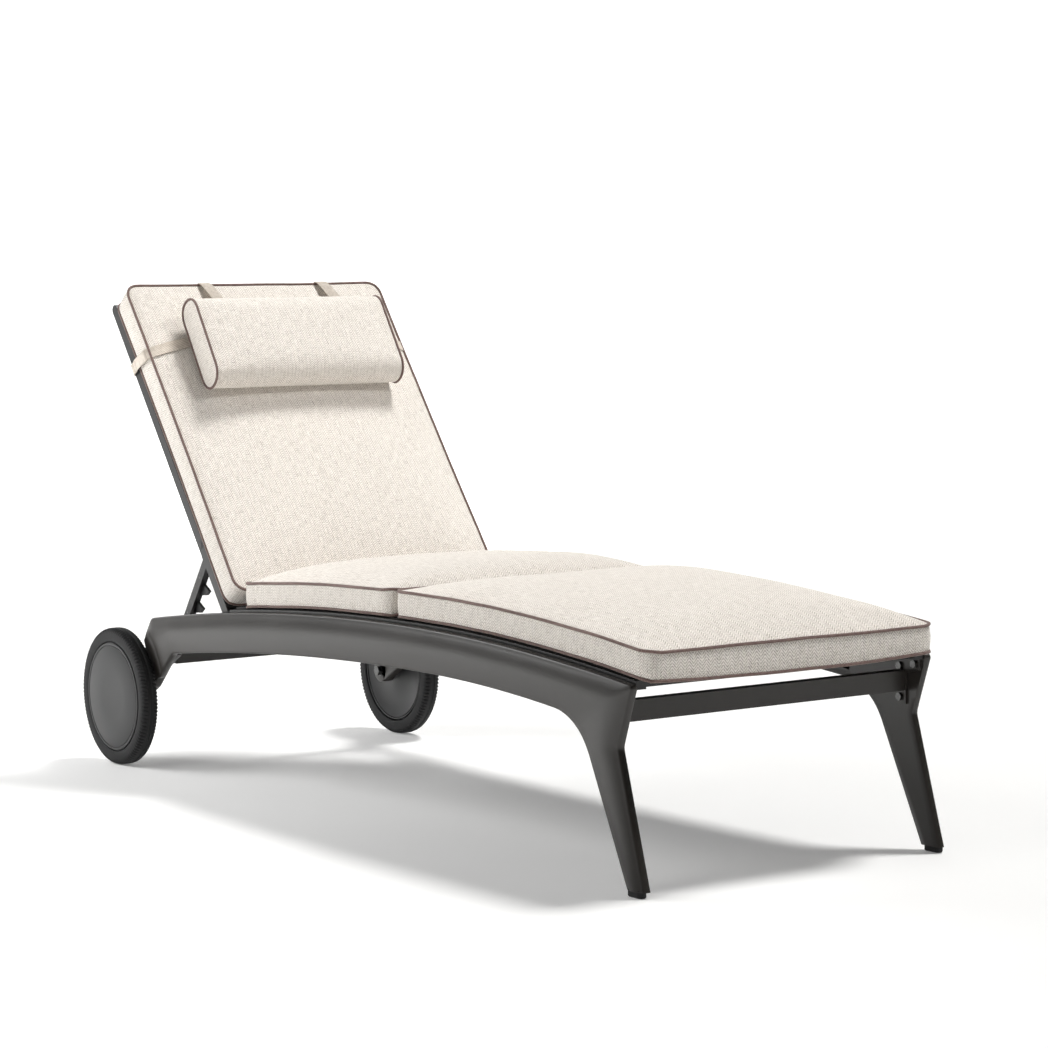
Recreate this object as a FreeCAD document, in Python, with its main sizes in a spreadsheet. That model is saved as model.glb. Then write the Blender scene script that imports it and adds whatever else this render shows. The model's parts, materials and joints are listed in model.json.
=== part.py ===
import FreeCAD, Part
import math
import os
import re
import Sketcher

# Reclining sun lounger: two arched cast side frames on front legs and rear wheels, a sling seat
# with two cushions, and a hinged back that a pair of notched props holds up.
# Millimetres. +X runs to the foot end, +Z up, and the object is centred on the Y = 0 plane.
# The origin is on the floor, under the middle of the bounding box.

Vector = FreeCAD.Vector
LEFT = 1
RIGHT = -1
SIDES = {"left": LEFT, "right": RIGHT}

DRIVING_DIMENSIONS = [
    ("half_length", 1000, "half of the overall length with the back up"),
    ("frame_inner", 318, "inner face of a side frame, from the centre plane"),
    ("frame_thick", 21.5, "thickness of a side frame"),
    ("apex_x", 300, "highest point of the side frame's top line"),
    ("frame_top", 393.5, "height of that point"),
    ("arch_rear", 7700, "radius of the top line behind its highest point"),
    ("arch_front", 5600, "radius of the top line in front of it"),
    ("under_x", 336, "highest point of the side frame's bottom line"),
    ("under_top", 312, "height of that point"),
    ("under_rear", 8500, "radius of the bottom line behind its highest point"),
    ("under_front", 4300, "radius of the bottom line in front of it"),
    ("frame_front", 970, "front end of the top line"),
    ("frame_back", -743, "rear end of the top line"),
    ("kink_x", 930, "kink in the front edge of the front leg"),
    ("kink_z", 245, "height of the kink"),
    ("foot_front", 998, "front corner of the front leg's sole"),
    ("foot_length", 47, "length of the sole"),
    ("glide_height", 14, "height of the plastic glide under the sole"),
    ("wheel_radius", 147, "outer radius of the tyre"),
    ("wheel_inner", 334.6, "inner face of the wheel, from the centre plane"),
    ("wheel_width", 36.8, "width of the tyre"),
    ("cover_radius", 115.7, "radius of the flat cover on the wheel"),
    ("axle_radius", 6, "radius of the axle bolt"),
    ("leg_inner", 303, "inner face of the rear leg, from the centre plane"),
    ("boss_outer", 331, "outer face of the axle boss"),
    ("running_gap", 0.05, "radial clearance of a shaft that turns"),
    ("rail_inner", 290, "inner face of a back rail, from the centre plane"),
    ("rail_outer", 312, "outer face of a back rail"),
    ("back_length", 800, "hinge axis to the top end of the back rails"),
    ("rail_half", 11, "half depth of a back rail"),
    ("hinge_x", -441, "back hinge axis"),
    ("hinge_z", 342, "height of the back hinge axis"),
    ("back_angle", 53, "slope of the back in its top notch"),
    ("pivot_reach", 182, "hinge axis to the prop pivot, along the back rail"),
    ("prop_angle", 54, "slope of the props in the top notch"),
    ("strut_inner", 280, "inner face of a prop strut, from the centre plane"),
    ("strut_outer", 288, "outer face of a prop strut"),
    ("notch_reach", 233, "prop pivot to the last notch"),
    ("notch_pitch", 48, "distance between notches"),
    ("valley_depth", 10.5, "root of the notches, off the strut's centre line"),
    ("tooth_depth", 36, "tip of the teeth, off the strut's centre line"),
    ("bar_radius", 7, "radius of the bar that the props rest on"),
    ("cushion_half", 318, "half width of the cushions"),
    ("cushion_thick", 68, "thickness of the seat and leg cushions"),
    ("cushion_split", 196, "joint between the seat and leg cushions"),
    ("seat_back", -376, "rear end of the seat cushion"),
    ("back_thick", 78, "thickness of the back cushion"),
    ("sling_thick", 2, "thickness of the sling fabric"),
    ("pillow_half", 231, "half length of the headrest pillow"),
    ("pillow_low", 487, "lower edge of the pillow, up the back from the hinge"),
    ("pillow_high", 711, "upper edge of the pillow"),
]

document = FreeCAD.newDocument("sun_lounger")
sheet = document.addObject("Spreadsheet::Sheet", "Dims")
for row, (alias, number, meaning) in enumerate(DRIVING_DIMENSIONS, start=1):
    sheet.set(f"A{row}", meaning)
    sheet.set(f"B{row}", str(number))
    sheet.setAlias(f"B{row}", alias)
document.recompute()
ALIASES = {alias for alias, number, meaning in DRIVING_DIMENSIONS}
parts = {}


# ---------------------------------------------------------------- sizes and sketches

def formula(text):
    """The text as a document expression, with each alias read from the sheet."""
    return re.sub(r"[a-z_]+", lambda m: "Dims." + m.group() if m.group() in ALIASES else m.group(), str(text))


def value(text):
    """The number that an expression gives now."""
    result = sheet.evalExpression(formula(text))
    return float(getattr(result, "Value", result))


def bind(thing, prop, text):
    thing.setExpression(prop, formula(text))


def curve_height(x, rise, apex, top, rear, front):
    """Height at x of an arched line, or of a line that runs `rise` above it."""
    radius = rear if value(x) < value(apex) else front
    reach = f"({radius} + ({rise}))"
    return f"({top} + ({rise}) - {reach} + sqrt({reach}^2 - (({x}) - {apex})^2))"


def top_line(x, rise=0):
    return curve_height(x, rise, "apex_x", "frame_top", "arch_rear", "arch_front")


def bottom_line(x, rise=0):
    return curve_height(x, rise, "under_x", "under_top", "under_rear", "under_front")


def origin_plane(body, role):
    return [item for item in body.Origin.OriginFeatures if item.Role == role][0]


def new_body(label):
    body = document.addObject("PartDesign::Body", label)
    body.Label = label
    parts[label] = body
    return body


def new_sketch(body, name, role="XZ_Plane", offset="0"):
    """A sketch on one of the body's own origin planes, `offset` along that plane's normal."""
    sketch = body.newObject("Sketcher::SketchObject", body.Name + "_" + name)
    sketch.AttachmentSupport = [(origin_plane(body, role), "")]
    sketch.MapMode = "FlatFace"
    bind(sketch, "AttachmentOffset.Base.z", offset)
    return sketch


def place_vertex(sketch, edge, end, x, y):
    for kind, text in (("DistanceX", x), ("DistanceY", y)):
        index = sketch.addConstraint(Sketcher.Constraint(kind, -1, 1, edge, end, value(text)))
        bind(sketch, f"Constraints[{index}]", text)


def arc_between(start, finish, radius):
    """The shorter anticlockwise arc from start to finish."""
    chord = finish - start
    left = Vector(-chord.y, chord.x, 0).normalize()
    drop = math.sqrt(radius ** 2 - chord.Length ** 2 / 4)
    crown = start + chord * 0.5 + left * (drop - radius)
    return Part.Arc(start, crown, finish)


def draw_outline(sketch, points, arcs=None):
    """A closed outline. arcs gives, for an edge's number, its (radius, turn): 1 is anticlockwise."""
    arcs = arcs or {}
    spots = [Vector(value(x), value(y), 0) for x, y in points]
    ends = []
    for number, spot in enumerate(spots):
        following = spots[(number + 1) % len(spots)]
        if number in arcs:
            radius, turn = arcs[number]
            swapped = turn < 0
            start, finish = (following, spot) if swapped else (spot, following)
            edge = sketch.addGeometry(arc_between(start, finish, value(radius)))
            index = sketch.addConstraint(Sketcher.Constraint("Radius", edge, value(radius)))
            bind(sketch, f"Constraints[{index}]", radius)
        else:
            edge = sketch.addGeometry(Part.LineSegment(spot, following))
            swapped = False
        ends.append((edge, 2 if swapped else 1, 1 if swapped else 2))
    for number, (x, y) in enumerate(points):
        edge, start, finish = ends[number]
        before, _, before_finish = ends[number - 1]
        sketch.addConstraint(Sketcher.Constraint("Coincident", before, before_finish, edge, start))
        place_vertex(sketch, edge, start, x, y)


def draw_box(sketch, low, high):
    draw_outline(sketch, [(low[0], low[1]), (high[0], low[1]), (high[0], high[1]), (low[0], high[1])])


def draw_circle(sketch, x, y, radius):
    centre = Vector(value(x), value(y), 0)
    edge = sketch.addGeometry(Part.Circle(centre, Vector(0, 0, 1), value(radius)))
    place_vertex(sketch, edge, 3, x, y)
    index = sketch.addConstraint(Sketcher.Constraint("Radius", edge, value(radius)))
    bind(sketch, f"Constraints[{index}]", radius)


# ---------------------------------------------------------------- features

def pad(body, sketch, length, backwards=False, centred=False):
    feature = body.newObject("PartDesign::Pad", sketch.Name + "_pad")
    feature.Profile = sketch
    feature.Reversed = backwards
    feature.Midplane = centred
    bind(feature, "Length", length)
    sketch.Visibility = False
    document.recompute()
    return feature


def pocket(body, sketch, length, backwards=False, centred=False):
    """Cut a pocket, and check that it really removed material."""
    before = body.Shape.Volume
    feature = body.newObject("PartDesign::Pocket", sketch.Name + "_cut")
    feature.Profile = sketch
    feature.Reversed = backwards
    feature.Midplane = centred
    bind(feature, "Length", length)
    document.recompute()
    if body.Shape.Volume >= before:
        raise RuntimeError(f"{feature.Name} removes nothing")
    return feature


def side_sketch(body, name, side, inner):
    """A sketch in the XZ plane, `inner` millimetres out from the centre plane on one side."""
    return new_sketch(body, name, offset=f"{-side} * ({inner})")


def side_pad(body, sketch, side, length):
    """Pad outwards, away from the centre plane."""
    return pad(body, sketch, length, backwards=(side == LEFT))


def side_pocket(body, sketch, side, length):
    """Cut outwards, away from the centre plane."""
    return pocket(body, sketch, length, backwards=(side == RIGHT))


def revolve(body, sketch):
    feature = body.newObject("PartDesign::Revolution", sketch.Name + "_turned")
    feature.Profile = sketch
    feature.ReferenceAxis = (sketch, ["V_Axis"])
    feature.Angle = 360
    document.recompute()
    return feature


def dress(body, kind, size, wanted):
    """Round or bevel the edges of the body's last feature that `wanted` picks by their box."""
    base = body.Tip
    names = [f"Edge{n}" for n, edge in enumerate(base.Shape.Edges, start=1) if wanted(edge.BoundBox)]
    feature = body.newObject("PartDesign::" + kind, f"{body.Name}_{kind}_{len(body.Group)}")
    feature.Base = (base, names)
    bind(feature, "Radius" if kind == "Fillet" else "Size", size)
    document.recompute()
    return feature


def lean(body):
    """Put a body that is drawn lying flat, hinge axis at its origin, on the raised back."""
    body.Placement = FreeCAD.Placement(Vector(), FreeCAD.Rotation(Vector(0, 1, 0), value("back_angle")))
    bind(body, "Placement.Base.x", "hinge_x")
    bind(body, "Placement.Base.z", "hinge_z")
    bind(body, "Placement.Rotation.Angle", "back_angle")


def rod(name, radius, length, x, inner, z, side):
    """A round bar along Y that starts `inner` from the centre plane and runs outwards."""
    bar = document.addObject("Part::Cylinder", name)
    bind(bar, "Radius", radius)
    bind(bar, "Height", length)
    return across(bar, x, inner, z, side)


def hexagon(name, radius, length, x, inner, z, side):
    prism = document.addObject("Part::Prism", name)
    prism.Polygon = 6
    bind(prism, "Circumradius", radius)
    bind(prism, "Height", length)
    return across(prism, x, inner, z, side)


def across(thing, x, inner, z, side):
    turn = FreeCAD.Rotation(Vector(1, 0, 0), -90 * side)
    thing.Placement = FreeCAD.Placement(Vector(), turn)
    bind(thing, "Placement.Base.x", x)
    bind(thing, "Placement.Base.y", f"{side} * ({inner})")
    bind(thing, "Placement.Base.z", z)
    return thing


def fuse(name, *pieces):
    joined = document.addObject("Part::MultiFuse", name)
    joined.Shapes = list(pieces)
    return joined


def cut(name, base, tool):
    result = document.addObject("Part::Cut", name)
    result.Base = base
    result.Tool = tool
    return result


def group(label, pieces):
    """Several separate solids, such as a set of bolts, kept as one sub-part."""
    bundle = document.addObject("Part::Compound", label)
    bundle.Links = pieces
    bundle.Label = label
    parts[label] = bundle
    return bundle


def single(label, thing):
    thing.Label = label
    parts[label] = thing
    return thing


# ---------------------------------------------------------------- places that several parts share

PIVOT_X = "(hinge_x - pivot_reach * cos(back_angle))"
PIVOT_Z = "(hinge_z + pivot_reach * sin(back_angle))"
BAR_OFF = "(valley_depth + bar_radius + 0.5)"
BAR_X = f"({PIVOT_X} - notch_reach * cos(prop_angle) + {BAR_OFF} * sin(prop_angle))"
BAR_Z = f"({PIVOT_Z} - notch_reach * sin(prop_angle) - {BAR_OFF} * cos(prop_angle))"
for written in ("back_angle", "prop_angle"):
    PIVOT_X, PIVOT_Z, BAR_X, BAR_Z = [
        text.replace(f"({written})", f"({written} * 1deg)") for text in (PIVOT_X, PIVOT_Z, BAR_X, BAR_Z)
    ]
WHEEL_X = "(wheel_radius - half_length)"
FRONT_BOLTS = [("903", "328"), ("942", "334"), ("903", "272")]
REAR_BOLTS = [("-736", "246"), ("-682", "252")]
RAIL_BOLTS = ["-350", "-60", "320", "860"]
PLATE_SCREWS = [("hinge_x - 18", "hinge_z - 12"), ("hinge_x + 6", "hinge_z - 17")]
NOTCH_COUNT = 4
RIVET_REACHES = ["notch_reach - 3 * notch_pitch", "notch_reach - notch_pitch"]
BOLT_RADIUS = "4"
BOLT_SHANK = "4 - running_gap"
BOLT_DEPTH = 12
SCREW_RADIUS = "2.5"
SCREW_HEAD = 4.5
PIN_RADIUS = "5"
PIVOT_RADIUS = "6"
PLATE_THICK = "4"
RACK_THICK = "6"
RAIL_DROP = -10
RAIL_RISE = 5
RAIL_BOLT_DROP = -3
RAIL_INSIDE = "frame_inner - 22"


# ---------------------------------------------------------------- side frames, legs and crossbars

def side_frame(name, side):
    """Arched beam and front leg in one casting, with a rear leg that steps in beside the wheel."""
    body = new_body(f"{name}_side_frame")
    outline = side_sketch(body, "arch", side, "frame_inner")
    knee = "816"
    armpit = "-648"
    points = [
        ("frame_back - 36", "272"),
        ("frame_back", top_line("frame_back")),
        ("apex_x", "frame_top"),
        ("frame_front", top_line("frame_front")),
        ("kink_x", "kink_z"),
        ("foot_front", "glide_height"),
        ("foot_front - foot_length", "glide_height"),
        (knee, bottom_line(knee)),
        ("under_x", "under_top"),
        (armpit, bottom_line(armpit)),
        ("-716", "194"),
        ("-752", "212"),
    ]
    arcs = {
        1: ("arch_rear", -1),
        2: ("arch_front", -1),
        7: ("under_front", 1),
        8: ("under_rear", 1),
    }
    draw_outline(outline, points, arcs)
    side_pad(body, outline, side, "frame_thick")
    for x, radius in ((knee, "128"), ("kink_x", "12"), (armpit, "10")):
        dress(body, "Fillet", radius, lambda box: box.XLength < 0.01 and abs(box.XMin - value(x)) < 0.01)

    hollow = side_sketch(body, "hollow_back", side, "frame_inner")
    rim = "15"
    draw_outline(hollow, [
        ("-395", top_line("-395", f"-{rim}")),
        ("apex_x", f"frame_top - {rim}"),
        ("770", top_line("770", f"-{rim}")),
        ("770", bottom_line("770", rim)),
        ("under_x", f"under_top + {rim}"),
        ("-395", bottom_line("-395", rim)),
    ], {
        0: (f"arch_rear - {rim}", -1),
        1: (f"arch_front - {rim}", -1),
        3: (f"under_front + {rim}", 1),
        4: (f"under_rear + {rim}", 1),
    })
    side_pocket(body, hollow, side, "14")

    leg = side_sketch(body, "rear_leg", side, "leg_inner")
    draw_outline(leg, [
        ("-656", "251"),
        ("-704", "222"),
        ("-756", "173"),
        (f"{WHEEL_X} + 15", "wheel_radius - 21.2"),
        (f"{WHEEL_X} - 18.4", "wheel_radius + 18.4"),
        ("-800", "228"),
        ("-766", "296"),
        ("-743", "316"),
        ("-700", "322"),
        ("-692", "262"),
    ])
    side_pad(body, leg, side, "22")
    boss = side_sketch(body, "boss", side, "leg_inner")
    draw_circle(boss, WHEEL_X, "wheel_radius", "26")
    side_pad(body, boss, side, "boss_outer - leg_inner")

    recess = side_sketch(body, "wheel_recess", side, "boss_outer")
    draw_circle(recess, WHEEL_X, "wheel_radius", "wheel_radius + 6")
    side_pocket(body, recess, side, "30")
    axle_hole = side_sketch(body, "axle_hole", side, "leg_inner")
    draw_circle(axle_hole, WHEEL_X, "wheel_radius", "axle_radius")
    side_pocket(body, axle_hole, side, "60")
    rear_holes = side_sketch(body, "rear_holes", side, "leg_inner")
    for x, z in REAR_BOLTS:
        draw_circle(rear_holes, x, z, BOLT_RADIUS)
    side_pocket(body, rear_holes, side, BOLT_DEPTH)
    holes = side_sketch(body, "holes", side, "frame_inner")
    for x, z in FRONT_BOLTS:
        draw_circle(holes, x, z, BOLT_RADIUS)
    for x in RAIL_BOLTS:
        draw_circle(holes, x, top_line(x, RAIL_BOLT_DROP), SCREW_RADIUS)
    for x, z in PLATE_SCREWS:
        draw_circle(holes, x, z, SCREW_RADIUS)
    draw_circle(holes, "hinge_x", "hinge_z", PIN_RADIUS)
    draw_circle(holes, BAR_X, BAR_Z, "bar_radius")
    side_pocket(body, holes, side, BOLT_DEPTH)


def foot_glide(name, side):
    """Black plastic glide, a little smaller than the sole that it carries."""
    body = new_body(f"{name}_foot_glide")
    sole = new_sketch(body, "sole", role="XY_Plane")
    near = f"{side} * (frame_inner + 2)"
    far = f"{side} * (frame_inner + frame_thick - 2)"
    low, high = (near, far) if side == LEFT else (far, near)
    draw_box(sole, ("foot_front - foot_length + 4", low), ("foot_front - 4", high))
    pad(body, sole, "glide_height")
    dress(body, "Fillet", "8", lambda box: box.ZLength > 13)
    dress(body, "Chamfer", "2", lambda box: box.ZMax < 0.01)


def tube_between(label, low, high, half_width, wall="2"):
    """A rectangular tube across the lounger."""
    body = new_body(label)
    section = new_sketch(body, "section")
    draw_box(section, low, high)
    inside_low = tuple(f"{part} + {wall}" for part in low)
    inside_high = tuple(f"{part} - {wall}" for part in high)
    draw_box(section, inside_low, inside_high)
    pad(body, section, f"2 * ({half_width})", centred=True)
    return body


def end_flanges(body, points, plate_outer, bolts):
    """Weld a plate to each end of a crossbar, with holes for its bolts."""
    for name, side in SIDES.items():
        plate = side_sketch(body, name + "_plate", side, f"{plate_outer} - 4")
        draw_outline(plate, points)
        side_pad(body, plate, side, "4")
        holes = side_sketch(body, name + "_plate_holes", side, f"{plate_outer} - 4")
        for x, z in bolts:
            draw_circle(holes, x, z, BOLT_RADIUS)
        side_pocket(body, holes, side, "4")


def crossbars():
    front = tube_between("front_crossbar", ("891", "284"), ("916", "320"), "frame_inner - 4")
    end_flanges(front, [
        ("886", "260"),
        ("918", "260"),
        ("918", "316"),
        ("956", "324"),
        ("956", "342"),
        ("886", "342"),
    ], "frame_inner", FRONT_BOLTS)
    rear = tube_between("rear_crossbar", ("-720", "227"), ("-692", "252"), "leg_inner - 4")
    end_flanges(rear, [
        ("-746", "236"),
        ("-722", "227"),
        ("-690", "236"),
        ("-670", "246"),
        ("-670", "262"),
        ("-746", "262"),
    ], "leg_inner", REAR_BOLTS)
    group("front_crossbar_bolts", bolts("front", FRONT_BOLTS, "frame_inner - 4", BOLT_SHANK, 7, 5, 16))
    group("rear_crossbar_bolts", bolts("rear", REAR_BOLTS, "leg_inner - 4", BOLT_SHANK, 7, 5, 16))


def bolts(name, places, face, radius, head_radius, head, length):
    """Round-head bolts on both sides, each a head inside `face` and a shank outside it."""
    found = []
    for side_name, side in SIDES.items():
        for number, (x, z) in enumerate(places, start=1):
            stem = f"{name}_{side_name}_{number}"
            shank = rod(stem + "_shank", radius, length, x, face, z, side)
            cap = rod(stem + "_head", head_radius, head, x, f"{face} - {head}", z, side)
            found.append(fuse(stem, shank, cap))
    return found


def prop_rest_bar():
    reach = f"(frame_inner + {BOLT_DEPTH} - 0.2)"
    bar = document.addObject("Part::Cylinder", "prop_rest_bar")
    bind(bar, "Radius", "bar_radius")
    bind(bar, "Height", f"2 * {reach}")
    across(bar, BAR_X, f"-{reach}", BAR_Z, LEFT)
    single("prop_rest_bar", bar)


# ---------------------------------------------------------------- seat

def arched_slab(label, rear, front, low, high, half_width=None, side=None, inner=None, width=None):
    """A slab between two lines that follow the frame's top line, as rails, sling and cushions do."""
    body = new_body(label)
    sketch = new_sketch(body, "section") if side is None else side_sketch(body, "section", side, inner)
    spans_apex = value(rear) < value("apex_x") < value(front)
    upper = [(rear, top_line(rear, high)), (front, top_line(front, high))]
    lower = [(front, top_line(front, low)), (rear, top_line(rear, low))]
    if spans_apex:
        upper.insert(1, ("apex_x", f"frame_top + {high}"))
        lower.insert(1, ("apex_x", f"frame_top + {low}"))
        arcs = {
            0: (f"arch_rear + {high}", -1),
            1: (f"arch_front + {high}", -1),
            3: (f"arch_front + {low}", 1),
            4: (f"arch_rear + {low}", 1),
        }
    else:
        arcs = {0: (f"arch_rear + {high}", -1), 2: (f"arch_rear + {low}", 1)}
    draw_outline(sketch, upper + lower, arcs)
    if side is None:
        pad(body, sketch, f"2 * ({half_width})", centred=True)
    else:
        side_pad(body, sketch, side, width)
    return body


def seat_frame():
    for name, side in SIDES.items():
        rail = arched_slab(
            f"{name}_seat_rail", "hinge_x + 19", "frame_front - 8", RAIL_DROP, RAIL_RISE,
            side=side, inner=RAIL_INSIDE, width="21.7",
        )
        holes = side_sketch(rail, "holes", side, RAIL_INSIDE)
        for x in RAIL_BOLTS:
            draw_circle(holes, x, top_line(x, RAIL_BOLT_DROP), SCREW_RADIUS)
        side_pocket(rail, holes, side, "30")
    places = [(x, top_line(x, RAIL_BOLT_DROP)) for x in RAIL_BOLTS]
    group("seat_rail_bolts", bolts("seat_rail", places, RAIL_INSIDE, SCREW_RADIUS, SCREW_HEAD, 3, 33))
    tube_between("seat_front_rail", ("925", "345"), ("945", "359"), RAIL_INSIDE)
    tube_between("seat_mid_rail", ("180", "381"), ("200", "397"), RAIL_INSIDE)
    tube_between("seat_rear_rail", ("-412", "350"), ("-392", "364"), RAIL_INSIDE)
    arched_slab(
        "seat_sling", "hinge_x + 21", "frame_front - 12", RAIL_RISE, f"{RAIL_RISE} + sling_thick",
        half_width="frame_inner - 6",
    )


def seat_cushions():
    low = f"({RAIL_RISE} + sling_thick + 0.5)"
    high = f"({low} + cushion_thick)"
    seat = arched_slab("seat_cushion", "seat_back", "cushion_split - 4", low, high, "cushion_half")
    leg = arched_slab("leg_cushion", "cushion_split + 4", "half_length", low, high, "cushion_half")
    for body in (seat, leg):
        middle = body.Shape.BoundBox.Center.z
        half = value("cushion_half")
        dress(body, "Fillet", "20", lambda box: abs(box.YMin) > half - 1 and box.YLength < 1
              and box.XLength > 50 and box.ZMax > middle + 15)


# ---------------------------------------------------------------- wheels

def turned(label, side, profile, rounding=None):
    """A part turned about the wheel's axis. profile gives (radius, distance from the inner face)."""
    body = new_body(label)
    sketch = new_sketch(body, "profile", role="XY_Plane")
    draw_outline(sketch, profile)
    revolve(body, sketch)
    if rounding:
        dress(body, "Fillet", rounding[0], rounding[1])
    facing = 0 if side == LEFT else 180
    body.Placement = FreeCAD.Placement(Vector(), FreeCAD.Rotation(Vector(0, 0, 1), facing))
    bind(body, "Placement.Base.x", WHEEL_X)
    bind(body, "Placement.Base.y", f"{side} * wheel_inner")
    bind(body, "Placement.Base.z", "wheel_radius")
    return body


def wheel(name, side):
    """Hub with rim and web, rubber tyre, flat cover, flanged bush, axle bolt and its nut."""
    seat = "cover_radius - 1"
    turned(f"{name}_wheel_hub", side, [
        ("8", "0"),
        ("22", "0"),
        ("24", "12"),
        (f"{seat} - 11", "14"),
        (f"{seat} - 9", "2"),
        (seat, "2"),
        (seat, "wheel_width - 4"),
        (f"{seat} - 9", "wheel_width - 4"),
        (f"{seat} - 11", "19"),
        ("24", "18"),
        ("22", "20"),
        ("8", "20"),
    ])
    turned(f"{name}_tyre", side, [
        ("cover_radius + 1", "0"),
        ("wheel_radius", "0"),
        ("wheel_radius", "wheel_width"),
        ("cover_radius + 1", "wheel_width"),
        ("cover_radius + 1", "wheel_width - 5"),
        (seat, "wheel_width - 5"),
        (seat, "3"),
        ("cover_radius + 1", "3"),
    ], ("7", lambda box: box.YLength < 0.01 and box.XMax > value("wheel_radius") - 1))
    turned(f"{name}_wheel_cover", side, [
        ("0", "wheel_width - 3.8"),
        ("cover_radius", "wheel_width - 3.8"),
        ("cover_radius", "wheel_width - 1.8"),
        ("cover_radius - 2", "wheel_width - 1"),
        ("0", "wheel_width - 0.4"),
    ])
    turned(f"{name}_wheel_bush", side, [
        ("axle_radius + running_gap", "-3.3"),
        ("12", "-3.3"),
        ("12", "0"),
        ("8", "0"),
        ("8", "20"),
        ("axle_radius + running_gap", "20"),
    ])
    bolt_start = "leg_inner"
    shank = rod(f"{name}_axle_shank", "axle_radius", "wheel_inner + 32 - leg_inner",
                WHEEL_X, bolt_start, "wheel_radius", side)
    washer = rod(f"{name}_axle_washer", "12", "2", WHEEL_X, "leg_inner - 2", "wheel_radius", side)
    head = hexagon(f"{name}_axle_head", "11", "8", WHEEL_X, "leg_inner - 10", "wheel_radius", side)
    single(f"{name}_axle_bolt", fuse(f"{name}_axle_bolt", shank, washer, head))
    nut = hexagon(f"{name}_nut_body", "11", "9", WHEEL_X, "wheel_inner + 22.5", "wheel_radius", side)
    ring = rod(f"{name}_nut_washer", "12", "2", WHEEL_X, "wheel_inner + 20.5", "wheel_radius", side)
    thread = rod(f"{name}_nut_thread", "axle_radius", "14", WHEEL_X, "wheel_inner + 19", "wheel_radius", side)
    outside = fuse(f"{name}_nut_outside", nut, ring)
    single(f"{name}_axle_nut", cut(f"{name}_axle_nut", outside, thread))


# ---------------------------------------------------------------- back

def back_rail(name, side):
    """Flat bar with rounded ends, bored for the hinge bush and the prop bush."""
    body = new_body(f"{name}_back_rail")
    bar = side_sketch(body, "bar", side, "rail_inner")
    top = "-(back_length - rail_half)"
    points = [("0", "-rail_half"), ("0", "rail_half"), (top, "rail_half"), (top, "-rail_half")]
    draw_outline(bar, points)
    side_pad(body, bar, side, "rail_outer - rail_inner")
    for label, x in (("hinge_end", "0"), ("top_end", top)):
        end = side_sketch(body, label, side, "rail_inner")
        draw_circle(end, x, "0", "rail_half")
        side_pad(body, end, side, "rail_outer - rail_inner")
    holes = side_sketch(body, "bush_holes", side, "rail_inner")
    draw_circle(holes, "0", "0", "7")
    draw_circle(holes, "-pivot_reach", "0", "8")
    side_pocket(body, holes, side, "40")
    lean(body)


def back_frame():
    span = "rail_inner"
    for label, low, high in (
        ("back_top_rail", "-788", "-768"),
        ("back_mid_rail", "-472", "-452"),
        ("back_bottom_rail", "-44", "-24"),
    ):
        lean(tube_between(label, (low, "-9"), (high, "9"), span))
    sling = new_body("back_sling")
    section = new_sketch(sling, "section")
    draw_box(section, ("-(back_length - 4)", "rail_half"), ("-20", "rail_half + sling_thick"))
    pad(sling, section, "2 * (rail_outer - 5)", centred=True)
    lean(sling)


def back_cushion():
    body = new_body("back_cushion")
    section = new_sketch(body, "section")
    low = "(rail_half + sling_thick + 1)"
    draw_box(section, ("-(back_length - 2)", low), ("-22", f"{low} + back_thick"))
    pad(body, section, "2 * cushion_half", centred=True)
    front = value(f"{low} + back_thick")
    dress(body, "Fillet", "20", lambda box: box.ZMin > front - 0.01)
    lean(body)


def cross_strap():
    """Elastic band round the back cushion and the back rails."""
    body = new_body("cross_strap")
    band = new_sketch(body, "band", role="YZ_Plane", offset="-597")
    face = "rail_half + sling_thick + 1 + back_thick"
    draw_box(band, ("-(cushion_half + 2)", "-(rail_half + 2.3)"), ("cushion_half + 2", f"{face} + 2.5"))
    draw_box(band, ("-(cushion_half + 0.3)", "-(rail_half + 0.3)"), ("cushion_half + 0.3", f"{face} + 0.5"))
    pad(body, band, "22", centred=True)
    lean(body)


def headrest_strap(name, centre):
    """Webbing hooked over the top of the back; the pillow hangs on its front run."""
    body = new_body(f"{name}_headrest_strap")
    path = new_sketch(body, "path", offset=f"-({centre})")
    face = "(rail_half + sling_thick + 1 + back_thick)"
    top = "-(back_length + 0.5)"
    draw_outline(path, [
        ("-625", f"{face} + 0.3"),
        ("-625", f"{face} + 2"),
        (f"{top} - 2", f"{face} + 2"),
        (f"{top} - 2", "-(rail_half + 2.3)"),
        ("-640", "-(rail_half + 2.3)"),
        ("-640", "-(rail_half + 0.3)"),
        (top, "-(rail_half + 0.3)"),
        (top, f"{face} + 0.3"),
    ])
    pad(body, path, "44", centred=True)
    lean(body)


def headrest_pillow():
    """Bolster with a lens-shaped section, clear of the straps behind it."""
    body = new_body("headrest_pillow")
    section = new_sketch(body, "section")
    back = "(rail_half + sling_thick + 1 + back_thick + 4)"
    low = "-pillow_low"
    high = "-pillow_high"
    draw_outline(section, [
        (low, f"{back} + 20"),
        (f"{low} - 22", back),
        (f"{high} + 22", back),
        (high, f"{back} + 20"),
        (high, f"{back} + 38"),
        (low, f"{back} + 38"),
    ], {0: ("28", -1), 2: ("28", -1), 4: ("170", -1)})
    pad(body, section, "2 * pillow_half", centred=True)
    lean(body)


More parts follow.
